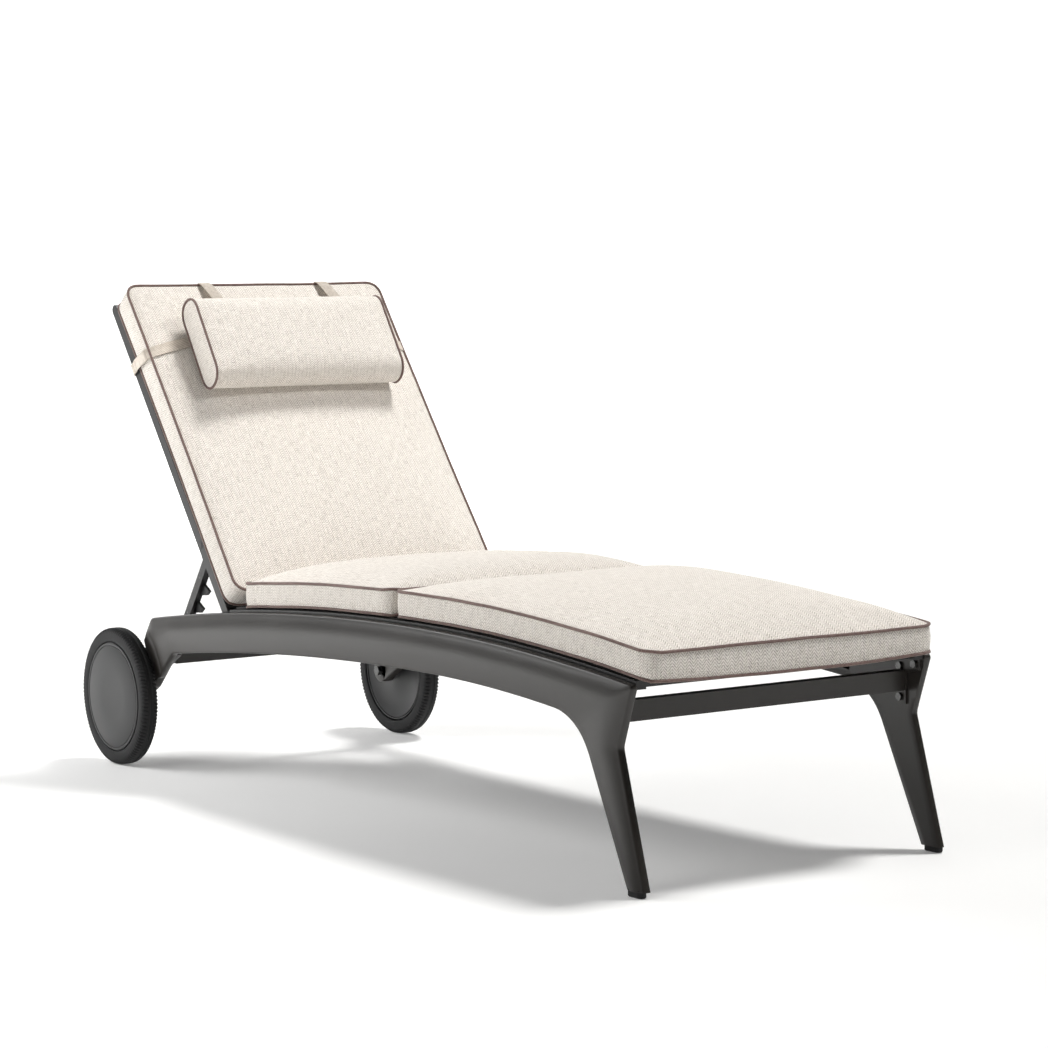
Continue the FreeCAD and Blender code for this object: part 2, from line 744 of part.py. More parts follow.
def back_hinges():
    for name, side in SIDES.items():
        plate = new_body(f"{name}_hinge_plate")
        outline = side_sketch(plate, "outline", side, "frame_inner - 4")
        draw_box(outline, ("hinge_x - 29", "hinge_z - 24"), ("hinge_x + 15", "hinge_z + 14"))
        side_pad(plate, outline, side, "4")
        dress(plate, "Fillet", "10", lambda box: box.XLength < 0.01 and box.ZLength < 0.01)
        holes = side_sketch(plate, "holes", side, "frame_inner - 4")
        draw_circle(holes, "hinge_x", "hinge_z", PIN_RADIUS)
        for x, z in PLATE_SCREWS:
            draw_circle(holes, x, z, SCREW_RADIUS)
        side_pocket(plate, holes, side, PLATE_THICK)
        pin_length = f"32 + {BOLT_DEPTH}"
        pin = rod(f"{name}_pin_shank", PIN_RADIUS, pin_length, "hinge_x", "frame_inner - 32", "hinge_z", side)
        head = rod(f"{name}_pin_head", "9", "4", "hinge_x", "rail_inner - 6", "hinge_z", side)
        single(f"{name}_hinge_pin", fuse(f"{name}_hinge_pin", pin, head))
        pin_bore = f"{PIN_RADIUS} + running_gap"
        flanged_bush(f"{name}_hinge_bush", pin_bore, "7", "hinge_x", "hinge_z", side, outer_flange=True)
        pivot_bore = f"{PIVOT_RADIUS} + running_gap"
        flanged_bush(f"{name}_prop_bush", pivot_bore, "8", PIVOT_X, PIVOT_Z, side, outer_flange=False)
    screws = bolts("plate", PLATE_SCREWS, "frame_inner - 4", SCREW_RADIUS, SCREW_HEAD, 1.6, 14)
    group("hinge_plate_screws", screws)


def flanged_bush(label, bore, radius, x, z, side, outer_flange):
    """A plain bearing pressed in a back rail, with a thrust flange 1.6 mm thick."""
    sleeve = rod(label + "_sleeve", radius, "rail_outer - rail_inner", x, "rail_inner", z, side)
    flange_start = "rail_outer" if outer_flange else "rail_inner - 1.6"
    flange = rod(label + "_flange", f"{radius} + 3", "1.6", x, flange_start, z, side)
    hole = rod(label + "_bore", bore, "rail_outer - rail_inner + 8", x, "rail_inner - 4", z, side)
    single(label, cut(label, fuse(label + "_solid", sleeve, flange), hole))


# ---------------------------------------------------------------- props

def hang_prop(body):
    """Put a body that is drawn along -X from the prop pivot at the props' slope."""
    body.Placement = FreeCAD.Placement(Vector(), FreeCAD.Rotation(Vector(0, 1, 0), -value("prop_angle")))
    bind(body, "Placement.Base.x", PIVOT_X)
    bind(body, "Placement.Base.z", PIVOT_Z)
    bind(body, "Placement.Rotation.Angle", "-prop_angle")


def prop_side(name, side):
    """A flat strut and the notched rack that is riveted to its inner face."""
    end = "-(notch_reach + 22)"
    strut = new_body(f"{name}_prop_strut")
    bar = side_sketch(strut, "bar", side, "strut_inner")
    draw_box(bar, (end, "-10"), ("0", "10"))
    side_pad(strut, bar, side, "strut_outer - strut_inner")
    eye = side_sketch(strut, "eye", side, "strut_inner")
    draw_circle(eye, "0", "0", "10")
    side_pad(strut, eye, side, "strut_outer - strut_inner")
    holes = side_sketch(strut, "holes", side, "strut_inner")
    draw_circle(holes, "0", "0", PIVOT_RADIUS)
    for reach in RIVET_REACHES:
        draw_circle(holes, f"-({reach})", "0", SCREW_RADIUS)
    side_pocket(strut, holes, side, "20")
    hang_prop(strut)

    rack = new_body(f"{name}_prop_rack")
    teeth = side_sketch(rack, "teeth", side, f"strut_inner - {RACK_THICK}")
    draw_outline(teeth, rack_outline(end))
    side_pad(rack, teeth, side, RACK_THICK)
    rivet_holes = side_sketch(rack, "rivet_holes", side, f"strut_inner - {RACK_THICK}")
    for reach in RIVET_REACHES:
        draw_circle(rivet_holes, f"-({reach})", "0", SCREW_RADIUS)
    side_pocket(rack, rivet_holes, side, RACK_THICK)
    hang_prop(rack)


def rack_outline(end):
    """Hooked teeth below the strut; each notch has room for the rest bar to leave forwards."""
    root = "-valley_depth"
    tip = "-tooth_depth"
    points = [("-(notch_reach - 3 * notch_pitch - 14)", "6"), ("-(notch_reach - 3 * notch_pitch - 14)", root)]
    for number in range(1, NOTCH_COUNT):
        notch = f"notch_reach - {NOTCH_COUNT - 1 - number} * notch_pitch"
        points += [
            (f"-({notch} - notch_pitch + 10.5)", root),
            (f"-({notch} - notch_pitch + 7.5)", tip),
            (f"-({notch} - notch_pitch + 22)", f"{tip} + 4.5"),
            (f"-({notch} - 8.5)", root),
        ]
    points += [
        ("-(notch_reach + 10.5)", root),
        ("-(notch_reach + 7.5)", f"{tip} + 4"),
        (end, f"{tip} + 10"),
        (end, "6"),
    ]
    return points


def props():
    for name, side in SIDES.items():
        prop_side(name, side)
    tube = document.addObject("Part::Cylinder", "prop_pivot_tube")
    bind(tube, "Radius", f"{PIVOT_RADIUS} - running_gap")
    bind(tube, "Height", "2 * (rail_outer + 1)")
    across(tube, PIVOT_X, "-(rail_outer + 1)", PIVOT_Z, LEFT)
    single("prop_pivot_tube", tube)
    rivets = []
    for name, side in SIDES.items():
        for number, reach in enumerate(RIVET_REACHES, start=1):
            x = f"{PIVOT_X} - ({reach}) * cos(prop_angle * 1deg)"
            z = f"{PIVOT_Z} - ({reach}) * sin(prop_angle * 1deg)"
            stem = f"rivet_{name}_{number}"
            shank = rod(stem + "_shank", SCREW_RADIUS, "14", x, f"strut_inner - {RACK_THICK}", z, side)
            head = rod(stem + "_head", "4.5", "1.5", x, "strut_inner - 7.5", z, side)
            rivets.append(fuse(stem, shank, head))
    group("prop_rack_rivets", rivets)


# ---------------------------------------------------------------- build, check and write

for side_name, side_sign in SIDES.items():
    side_frame(side_name, side_sign)
    foot_glide(side_name, side_sign)
    wheel(side_name, side_sign)
    back_rail(side_name, side_sign)
crossbars()
prop_rest_bar()
seat_frame()
seat_cushions()
back_frame()
back_cushion()
cross_strap()
headrest_strap("right", "-126")
headrest_strap("left", "166")
headrest_pillow()
back_hinges()
props()
document.recompute()

for item in document.Objects:
    if "Invalid" in item.State or "Error" in item.State:
        raise RuntimeError(f"{item.Name} failed: {item.State}")
os.makedirs("parts", exist_ok=True)
for label, item in parts.items():
    if item.Shape.isNull() or not item.Shape.isValid():
        raise RuntimeError(f"{label} has no valid shape")
for label, item in parts.items():
    item.Shape.exportStep(f"parts/{label}.step")
    size = item.Shape.BoundBox
    print(f"{label:24s} {item.Shape.Volume / 1000:9.1f} cm3  solids {len(item.Shape.Solids)}"
          f"  x {size.XMin:7.1f} {size.XMax:7.1f}  y {size.YMin:7.1f} {size.YMax:7.1f}"
          f"  z {size.ZMin:6.1f} {size.ZMax:6.1f}")
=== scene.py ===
import json
import math

import bmesh
import bpy
from mathutils import Matrix, Vector, noise
from mathutils.bvhtree import BVHTree


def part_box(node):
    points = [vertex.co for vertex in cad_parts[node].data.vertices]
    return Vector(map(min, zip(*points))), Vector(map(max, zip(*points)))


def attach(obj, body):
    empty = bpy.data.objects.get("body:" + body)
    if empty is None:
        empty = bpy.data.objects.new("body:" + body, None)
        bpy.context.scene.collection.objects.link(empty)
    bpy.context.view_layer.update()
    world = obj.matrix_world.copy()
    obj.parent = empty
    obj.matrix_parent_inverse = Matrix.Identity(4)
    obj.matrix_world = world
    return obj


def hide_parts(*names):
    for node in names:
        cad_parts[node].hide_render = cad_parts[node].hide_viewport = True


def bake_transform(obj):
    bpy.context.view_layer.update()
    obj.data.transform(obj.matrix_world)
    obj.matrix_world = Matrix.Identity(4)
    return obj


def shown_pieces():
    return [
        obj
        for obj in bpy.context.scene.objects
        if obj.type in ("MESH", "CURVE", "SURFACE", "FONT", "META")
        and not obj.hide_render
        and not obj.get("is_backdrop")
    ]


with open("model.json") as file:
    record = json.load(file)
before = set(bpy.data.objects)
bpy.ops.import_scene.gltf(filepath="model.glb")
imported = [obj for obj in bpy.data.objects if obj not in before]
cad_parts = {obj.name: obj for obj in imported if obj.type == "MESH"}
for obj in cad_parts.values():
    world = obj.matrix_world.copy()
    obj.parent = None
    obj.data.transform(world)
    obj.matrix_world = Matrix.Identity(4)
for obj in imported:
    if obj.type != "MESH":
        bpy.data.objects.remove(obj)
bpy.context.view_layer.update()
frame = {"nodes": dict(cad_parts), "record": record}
scene = bpy.context.scene

# The frame's long curves, in metres: each crown's height, where it stands, and its radii behind and ahead
TOP_CROWN = (0.3935, 0.300, 7.7, 5.6)
UNDER_CROWN = (0.312, 0.336, 8.5, 4.3)
FRAME_INNER = 0.318
FRAME_OUTER = 0.3395
WHEEL_WELL = 0.153
WELL_FACE = 0.3305
WELL_SLOPE = 0.035
FACE_RISE = 0.009
FULL_TURN = 2 * math.pi
BACK_ANGLE = math.radians(53)


def on_curve(crown, x):
    """Height of a long arch at x."""
    high, middle, behind, ahead = crown
    radius = behind if x < middle else ahead
    return high - (radius - math.sqrt(radius * radius - (x - middle) ** 2))


def top_line(x):
    return on_curve(TOP_CROWN, x)


def under_line(x):
    return on_curve(UNDER_CROWN, x)


joints = {j["name"]: j for j in frame["record"]["behaviour"]["joints"]}
HINGE = Vector(joints["back_recline"]["pos_m"])
UP_BACK = Vector((-math.cos(BACK_ANGLE), 0, math.sin(BACK_ANGLE)))
OFF_BACK = Vector((math.sin(BACK_ANGLE), 0, math.cos(BACK_ANGLE)))
WHEEL_AT = Vector(joints["left_wheel_spin"]["pos_m"])


def on_seat(along, across, height):
    """A place measured along the arch, across it, and up from the frame's top line."""
    return Vector((along, across, top_line(along) + height))


def on_back(along, across, height):
    """A place measured up the back from its hinge, across it, and off it towards the sitter."""
    return HINGE + UP_BACK * along + OFF_BACK * height + Vector((0, across, 0))


# Shading nodes


def linear(code):
    """A finish's colour, given as an sRGB code, as the linear colour a shader takes."""
    parts = [int(code[i : i + 2], 16) / 255 for i in (1, 3, 5)]
    return [p / 12.92 if p <= 0.04045 else ((p + 0.055) / 1.055) ** 2.4 for p in parts] + [1.0]


PLUS = {"operation": "ADD"}
TIMES = {"operation": "MULTIPLY"}
SINE = {"operation": "SINE"}
COSINE = {"operation": "COSINE"}
ZIGZAG = {"operation": "PINGPONG"}


def feed(tree, node, inputs):
    """Links a node or an output to an input, and sets any other value on it."""
    for key, value in inputs.items():
        if isinstance(value, bpy.types.Node):
            value = value.outputs[0]
        if isinstance(value, bpy.types.NodeSocket):
            tree.links.new(value, node.inputs[key])
        else:
            node.inputs[key].default_value = value


def add(tree, kind, settings, inputs, stops=()):
    """Adds one shading node, with its settings, its values and its links, and a colour ramp's stops."""
    made = tree.nodes.new("ShaderNode" + kind)
    for key, value in settings.items():
        setattr(made, key, value)
    for number, (position, code) in enumerate(stops):
        made.color_ramp.elements[number].position = position
        made.color_ramp.elements[number].color = linear(code)
    feed(tree, made, inputs)
    return made


def finish_base(name, values):
    """A material with only its shader, whose even values are set on its own sockets."""
    made = bpy.data.materials.new(name)
    made.use_nodes = True
    shader = made.node_tree.nodes["Principled BSDF"]
    feed(made.node_tree, shader, values)
    return made, made.node_tree, shader


def powder_coat(name, dark, light, roughness, grain):
    """Satin powder coat: a fine orange peel, and a faint drift of tone over the casting."""
    made, tree, shader = finish_base(name, {"Metallic": 0.0, "Specular IOR Level": 0.5})
    place = add(tree, "TexCoord", {}, {}).outputs["Object"]
    drift = add(tree, "TexNoise", {}, {"Vector": place, "Scale": 6.0, "Detail": 3.0})
    peel = add(tree, "TexNoise", {}, {"Vector": place, "Scale": grain, "Detail": 2.0})
    colour = add(tree, "ValToRGB", {}, {"Fac": drift}, [(0.35, dark), (0.65, light)])
    shine = {"Value": drift, "To Min": roughness - 0.04, "To Max": roughness + 0.05}
    rough = add(tree, "MapRange", {}, shine)
    bump = add(tree, "Bump", {}, {"Height": peel, "Strength": 0.35, "Distance": 0.00012})
    feed(tree, shader, {"Base Color": colour, "Roughness": rough, "Normal": bump})
    return made


def moulded(name, dark, light, roughness, grain, depth):
    """Moulded plastic or rubber, with the fine spark grain of its tool."""
    made, tree, shader = finish_base(name, {"Metallic": 0.0, "Specular IOR Level": 0.4})
    place = add(tree, "TexCoord", {}, {}).outputs["Object"]
    spark = add(tree, "TexNoise", {}, {"Vector": place, "Scale": grain, "Detail": 3.0})
    scuff = add(tree, "TexNoise", {}, {"Vector": place, "Scale": 18.0, "Detail": 4.0})
    colour = add(tree, "ValToRGB", {}, {"Fac": scuff}, [(0.3, dark), (0.7, light)])
    shine = {"Value": scuff, "To Min": roughness - 0.05, "To Max": roughness + 0.06}
    rough = add(tree, "MapRange", {}, shine)
    bump = add(tree, "Bump", {}, {"Height": spark, "Strength": 0.4, "Distance": depth})
    feed(tree, shader, {"Base Color": colour, "Roughness": rough, "Normal": bump})
    return made


def brushed_stainless(name, dark, light):
    """Plain stainless steel, turned and lightly brushed."""
    made, tree, shader = finish_base(name, {"Metallic": 1.0, "Anisotropic": 0.3})
    place = add(tree, "TexCoord", {}, {}).outputs["Object"]
    stretch = add(tree, "Mapping", {}, {"Vector": place, "Scale": (300.0, 2500.0, 300.0)})
    brush = add(tree, "TexNoise", {}, {"Vector": stretch, "Scale": 1.0, "Detail": 2.0})
    colour = add(tree, "ValToRGB", {}, {"Fac": brush}, [(0.3, dark), (0.7, light)])
    rough = add(tree, "MapRange", {}, {"Value": brush, "To Min": 0.24, "To Max": 0.4})
    feed(tree, shader, {"Base Color": colour, "Roughness": rough})
    return made


RIB_SHADE = 0.215
SPINE_SHADE = 0.03
SLUB_SHADE = 0.70
CLOUD_SHADE = 0.08


def herringbone_cloth(name, dark, light, column, pitch, depth):
    """Ecru herringbone upholstery cloth. Its chevrons and slubs are laid out on the cut panels, in metres."""
    values = {"Metallic": 0.0, "Roughness": 0.92, "Specular IOR Level": 0.15}
    values.update({"Sheen Weight": 0.25, "Sheen Roughness": 0.6})
    made, tree, shader = finish_base(name, values)
    cut = add(tree, "UVMap", {"uv_map": "cut"}, {})
    parts = add(tree, "SeparateXYZ", {}, {"Vector": cut})
    across, along = parts.outputs["X"], parts.outputs["Y"]
    fold = add(tree, "Math", ZIGZAG, {0: across, 1: column})
    slant = add(tree, "Math", PLUS, {0: along, 1: fold})
    rib = add(tree, "Math", SINE, {0: add(tree, "Math", TIMES, {0: slant, 1: FULL_TURN / pitch})})
    spine = add(tree, "Math", COSINE, {0: add(tree, "Math", TIMES, {0: across, 1: FULL_TURN / column})})
    yarns = []
    for fine in ((800.0, 50.0, 1.0), (50.0, 800.0, 1.0)):
        stretch = add(tree, "Mapping", {}, {"Vector": cut, "Scale": fine})
        yarns.append(add(tree, "TexNoise", {}, {"Vector": stretch, "Scale": 1.0, "Detail": 2.0}))
    cloud = add(tree, "TexNoise", {}, {"Vector": cut, "Scale": 9.0, "Detail": 3.0})
    slubs = add(tree, "Math", PLUS, {0: yarns[0], 1: yarns[1]})
    tone = add(tree, "Math", TIMES, {0: slubs, 1: SLUB_SHADE})
    for layer, shade in ((rib, RIB_SHADE), (spine, SPINE_SHADE), (cloud, CLOUD_SHADE)):
        tone = add(tree, "Math", PLUS, {0: tone, 1: add(tree, "Math", TIMES, {0: layer, 1: shade})})
    colour = add(tree, "ValToRGB", {}, {"Fac": tone}, [(0.24, dark), (0.89, light)])
    relief = add(tree, "Math", PLUS, {0: add(tree, "Math", TIMES, {0: rib, 1: 0.5}), 1: slubs})
    bump = add(tree, "Bump", {}, {"Height": relief, "Strength": 0.6, "Distance": depth})
    feed(tree, shader, {"Base Color": colour, "Normal": bump})
    return made


def woven(name, dark, light, pitch, depth, sheen):
    """Plain woven tape, mesh or bias binding: crossed ribs at the pitch of its yarn."""
    values = {"Metallic": 0.0, "Roughness": 0.85, "Specular IOR Level": 0.25}
    values.update({"Sheen Weight": sheen, "Sheen Roughness": 0.5})
    made, tree, shader = finish_base(name, values)
    place = add(tree, "TexCoord", {}, {}).outputs["Object"]
    parts = add(tree, "SeparateXYZ", {}, {"Vector": place})
    lengthwise = add(tree, "Math", PLUS, {0: parts.outputs["X"], 1: parts.outputs["Z"]})
    ribs = []
    for run in (lengthwise, parts.outputs["Y"]):
        turned = add(tree, "Math", TIMES, {0: run, 1: FULL_TURN / pitch})
        ribs.append(add(tree, "Math", SINE, {0: turned}))
    crossed = add(tree, "Math", PLUS, {0: ribs[0], 1: ribs[1]})
    fleck = add(tree, "TexNoise", {}, {"Vector": place, "Scale": 160.0, "Detail": 3.0})
    tone = add(tree, "Math", PLUS, {0: add(tree, "Math", TIMES, {0: crossed, 1: 0.25}), 1: fleck})
    colour = add(tree, "ValToRGB", {}, {"Fac": tone}, [(0.1, dark), (0.9, light)])
    bump = add(tree, "Bump", {}, {"Height": tone, "Strength": 0.5, "Distance": depth})
    feed(tree, shader, {"Base Color": colour, "Normal": bump})
    return made


# The herringbone's ribs, 5.3 mm apart, are drawn coarser than such a cloth's are, so that they show
FINISHES = {
    "cast_aluminium": powder_coat("charcoal powder coat", "#25221f", "#2b2825", 0.36, 900.0),
    # The tubes' coat is partly their own dark finish and partly painted shade: it is darker than the
    # castings' coat to stand in for the shadow the seat rails lie in under the cushions.
    "dark_tube": powder_coat("near-black powder coat", "#151414", "#1b1a1a", 0.38, 900.0),
    "stainless": brushed_stainless("stainless steel", "#4c4c4c", "#6a6a69"),
    "bush_plastic": moulded("black nylon", "#1c1c1d", "#232324", 0.5, 700.0, 0.0001),
    "glide_plastic": moulded("black glide plastic", "#121213", "#19191a", 0.55, 500.0, 0.0001),
    "hub_plastic": moulded("charcoal wheel plastic", "#272728", "#2e2e2f", 0.45, 700.0, 0.0001),
    "tyre_rubber": moulded("black tyre rubber", "#1a1a1b", "#222223", 0.72, 500.0, 0.0002),
    "rack_black": moulded("black coated steel", "#131314", "#1a1a1b", 0.45, 700.0, 0.0001),
    "sling_mesh": woven("charcoal sling mesh", "#161514", "#3a3735", 0.0022, 0.0005, 0.0),
    "cushion_fabric": herringbone_cloth(
        "ecru herringbone cloth", "#877867", "#fdf7ef", 0.0090, 0.0053, 0.0013
    ),
    "piping": woven("taupe piping", "#5d4a45", "#8a756e", 0.0015, 0.0003, 0.2),
    "webbing": woven("ecru webbing", "#b0a496", "#e4dbcf", 0.0016, 0.0003, 0.15),
}

slots = {part["node"]: part["material_slot"] for part in frame["record"]["subparts"]}
for node_name, cad_node in frame["nodes"].items():
    cad_node.data.materials.clear()
    cad_node.data.materials.append(FINISHES[slots[node_name]])


def keep(name, bm, slot, body, stands_for=(), round_over=40):
    """Turns finished mesh work into a piece: normals out, smooth but for its real edges, on its body."""
    bmesh.ops.recalc_face_normals(bm, faces=bm.faces)
    mesh = bpy.data.meshes.new(name)
    bm.to_mesh(mesh)
    bm.free()
    mesh.shade_smooth()
    mesh.set_sharp_from_angle(angle=math.radians(round_over))
    mesh.materials.append(FINISHES[slot])
    piece = bpy.data.objects.new(name, mesh)
    scene.collection.objects.link(piece)
    if body:
        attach(piece, body)
    if stands_for:
        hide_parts(*stands_for)
    return piece


def smooth_step(low, high, value):
    share = min(max((value - low) / (high - low), 0.0), 1.0)
    return share * share * (3 - 2 * share)


def spread(first, last, count):
    """Evenly spaced places from the first to the last, with both."""
    return [first + (last - first) * i / count for i in range(count + 1)]


def round_corner(before, corner, after, radius, count):
    """Points along the arc that rounds off a corner."""
    a, c, b = Vector(before), Vector(corner), Vector(after)
    to_a, to_b = (a - c).normalized(), (b - c).normalized()
    half = to_a.angle(to_b) / 2
    reach = radius / math.tan(half)
    centre = c + (to_a + to_b).normalized() * radius / math.sin(half)
    start, end = c + to_a * reach - centre, c + to_b * reach - centre
    sweep = start.angle_signed(end)
    return [tuple(centre + Matrix.Rotation(-sweep * i / count, 2) @ start) for i in range(count + 1)]


# The cast side frames: ribs run from the casting's outer edge to its inner edge, from the tail to the foot

FOOT_HEIGHT = 0.0105


def even(line, count):
    """The line's points laid out again, count steps of equal length from end to end."""
    steps = [math.dist(p, q) for p, q in zip(line, line[1:])]
    places, gone, at = [], 0.0, 0
    for number in range(count + 1):
        want = sum(steps) * number / count
        while at < len(steps) - 1 and gone + steps[at] < want:
            gone += steps[at]
            at += 1
        share = min((want - gone) / steps[at], 1.0)
        places.append(tuple(a + (b - a) * share for a, b in zip(line[at], line[at + 1])))
    return places


def frame_ribs():
    tail_high, tail_low = (-0.779, 0.272), (-0.752, 0.212)
    shoulder, heel = (-0.743, top_line(-0.743)), (-0.716, 0.194)
    armpit, knee = (-0.648, under_line(-0.648)), (0.816, under_line(0.816))
    toe, kink = (0.970, top_line(0.970)), (0.930, 0.245)
    foot_front, foot_back = (0.999, FOOT_HEIGHT), (0.9527, FOOT_HEIGHT)
    shoulder_arc = round_corner(tail_high, shoulder, (-0.600, top_line(-0.600)), 0.016, 6)
    toe_arc = round_corner((0.940, top_line(0.940)), toe, kink, 0.007, 6)
    kink_arc = round_corner(toe, kink, foot_front, 0.022, 6)
    knee_arc = round_corner((0.700, under_line(0.700)), knee, foot_back, 0.128, 40)
    heel_arc = round_corner(tail_low, heel, armpit, 0.010, 4)
    armpit_arc = round_corner(heel, armpit, (-0.560, under_line(-0.560)), 0.012, 6)

    def along_top(first, last):
        return [(x, top_line(x)) for x in spread(first, last, 40)]

    def along_under(first, last):
        return [(x, under_line(x)) for x in spread(first, last, 40)]

    runs = [
        ([tail_high, shoulder_arc[0]], [tail_low] + heel_arc, 6),
        (shoulder_arc + along_top(shoulder_arc[-1][0], -0.650)[1:], [heel_arc[-1]] + armpit_arc, 12),
        (along_top(-0.650, 0.740), along_under(armpit_arc[-1][0], knee_arc[0][0]), 90),
        (along_top(0.740, toe_arc[0][0]), knee_arc[:19], 18),
        (toe_arc, knee_arc[18:23], 6),
        ([toe_arc[-1], kink_arc[0]], knee_arc[22:35], 12),
        (kink_arc, knee_arc[34:], 6),
        ([kink_arc[-1], foot_front], [knee_arc[-1], foot_back], 30),
    ]
    outer, inner = [runs[0][0][0]], [runs[0][1][0]]
    for upper, under, count in runs:
        outer += even(upper, count)[1:]
        inner += even(under, count)[1:]
    return list(zip(outer, inner))


RIDGE = 0.45
UPPER_FALL = 0.0085
LOWER_FALL = 0.0060
EDGE_ROUND = 0.0045
INNER_EASE = 0.0015
RIM = 0.015
HOLLOW = (-0.395, 0.770)
HOLLOW_DEPTH = 0.012


def face_fall(share):
    """How far the casting's outer face falls back from its ridge, by its share of the way across."""
    if share < RIDGE:
        return UPPER_FALL * ((RIDGE - share) / RIDGE) ** 2
    return LOWER_FALL * ((share - RIDGE) / (1 - RIDGE)) ** 1.8


def rib_section(width, deep):
    """The casting's closed section: distance from its outer edge, and out from the lounger's middle."""
    arc = [math.radians(turn) for turn in spread(0, 90, 4)]
    high = FRAME_OUTER - face_fall(EDGE_ROUND / width) - EDGE_ROUND
    low = FRAME_OUTER - face_fall(1 - EDGE_ROUND / width) - EDGE_ROUND
    section = [(EDGE_ROUND * (1 - math.cos(a)), high + EDGE_ROUND * math.sin(a)) for a in arc]
    for across in spread(EDGE_ROUND, width - EDGE_ROUND, 16)[1:-1]:
        section.append((across, FRAME_OUTER - face_fall(across / width)))
    for a in reversed(arc):
        section.append((width - EDGE_ROUND * (1 - math.cos(a)), low + EDGE_ROUND * math.sin(a)))
    section += [(width, FRAME_INNER + INNER_EASE), (width - INNER_EASE, FRAME_INNER)]
    section += [(width - RIM, FRAME_INNER), (width - RIM - INNER_EASE, FRAME_INNER + deep)]
    section += [(RIM + INNER_EASE, FRAME_INNER + deep)]
    section += [(RIM, FRAME_INNER), (INNER_EASE, FRAME_INNER), (0, FRAME_INNER + INNER_EASE)]
    return section


def sheet_of(rows, columns, place):
    """A sheet of rows by columns, each of whose points is moved to its place."""
    bm = bmesh.new()
    bmesh.ops.create_grid(bm, x_segments=rows, y_segments=columns, size=0.5)
    for v in bm.verts:
        v.co = place(round((v.co.x + 0.5) * rows), round((v.co.y + 0.5) * columns))
    return bm


def close(bm, gap=1e-5):
    """Joins the edges of a sheet that has been rolled round, and caps its open ends."""
    bmesh.ops.remove_doubles(bm, verts=bm.verts, dist=gap)
    bmesh.ops.holes_fill(bm, edges=[e for e in bm.edges if e.is_boundary], sides=0)


def well(x, z, out):
    """The casting's face gives way round the wheel."""
    away = math.hypot(x - WHEEL_AT.x, z - WHEEL_AT.z)
    return min(out, WELL_FACE + FACE_RISE * smooth_step(WHEEL_WELL, WHEEL_WELL + WELL_SLOPE, away))


def frame_casting(side):
    ribs = frame_ribs()
    sections = []
    for (ox, oz), (ix, iz) in ribs:
        width = math.hypot(ix - ox, iz - oz)
        deep = HOLLOW_DEPTH if HOLLOW[0] < ox < HOLLOW[1] else 0.0
        section = rib_section(width, deep)
        row = []
        for across, out in section + section[:1]:
            x = ox + (ix - ox) * across / width
            z = oz + (iz - oz) * across / width
            row.append(Vector((x, side * well(x, z, out), z)))
        sections.append(row)
    bm = sheet_of(len(sections) - 1, len(sections[0]) - 1, lambda i, j: sections[i][j])
    close(bm)
    return bm


REAR_LEG = [(-0.656, 0.251), (-0.704, 0.222), (-0.756, 0.173), (-0.838, 0.1258), (-0.8714, 0.1654)]
REAR_LEG += [(-0.800, 0.228), (-0.766, 0.296), (-0.743, 0.316), (-0.700, 0.322), (-0.692, 0.262)]


LEG_INNER = 0.303
LEG_THICK = 0.022
BOSS_RADIUS = 0.026
BOSS_LENGTH = 0.028
BOSS_MIDDLE = 0.317


def rear_leg(bm, side):
    """The leg behind the casting's tail, which reaches down to the axle boss."""
    outline = [bm.verts.new((x, side * LEG_INNER, z)) for x, z in REAR_LEG]
    made = bmesh.ops.contextual_create(bm, geom=outline)["faces"]
    thick = bmesh.ops.extrude_face_region(bm, geom=made)["geom"]
    moved = [v for v in thick if isinstance(v, bmesh.types.BMVert)]
    bmesh.ops.translate(bm, verts=moved, vec=(0, side * LEG_THICK, 0))
    edges = [e for e in bm.edges if e.verts[0] in moved or e.verts[1] in moved or e.verts[0] in outline]
    soften = {"segments": 3, "profile": 0.5, "affect": "EDGES", "material": -1}
    bmesh.ops.bevel(bm, geom=edges, offset=0.0035, clamp_overlap=True, **soften)
    boss_at = Matrix.Translation((WHEEL_AT.x, side * BOSS_MIDDLE, WHEEL_AT.z))
    boss = bmesh.ops.create_cone(
        bm, cap_ends=True, segments=64, radius1=BOSS_RADIUS, radius2=BOSS_RADIUS, depth=BOSS_LENGTH,
        matrix=boss_at @ Matrix.Rotation(math.pi / 2, 4, "X"),
    )["verts"]
    rims = {e for v in boss for e in v.link_edges if len(e.link_faces) == 2 and e.calc_face_angle() > 1.0}
    bmesh.ops.bevel(bm, geom=list(rims), offset=0.002, **soften)


for side, hand in ((1, "left"), (-1, "right")):
    casting = frame_casting(side)
    rear_leg(casting, side)
    keep(f"{hand}_frame_casting", casting, "cast_aluminium", "base", [f"{hand}_side_frame"], 50)


# Tyres: a rounded section spun round the axle, with blocks cut in its shoulders

TREAD_BLOCKS = 110
TREAD_DEPTH = 0.0034
AXLE_LINE = WHEEL_AT * Vector((1, 0, 1))
# Half of the tyre's section, from its inner edge to its crown: depth below the crown, share of half its width
TYRE_SECTION = [(0.0290, 0.70), (0.0287, 0.90), (0.0262, 0.965), (0.0205, 1.0), (0.0120, 1.0)]
TYRE_SECTION += [(0.0075, 0.975), (0.0036, 0.88), (0.0012, 0.70), (0.0002, 0.42), (0.0, 0.20)]
TYRE_SECTION += [(0.0014, 0.14), (0.0014, 0.0)]


def wheel_extent(hand, piece):
    """A wheel piece's radius, and how far its inner and outer faces stand from the lounger's middle."""
    low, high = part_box(f"{hand}_{piece}")
    inner, outer = sorted((abs(low.y), abs(high.y)))
    return (high.x - low.x) / 2, inner, outer


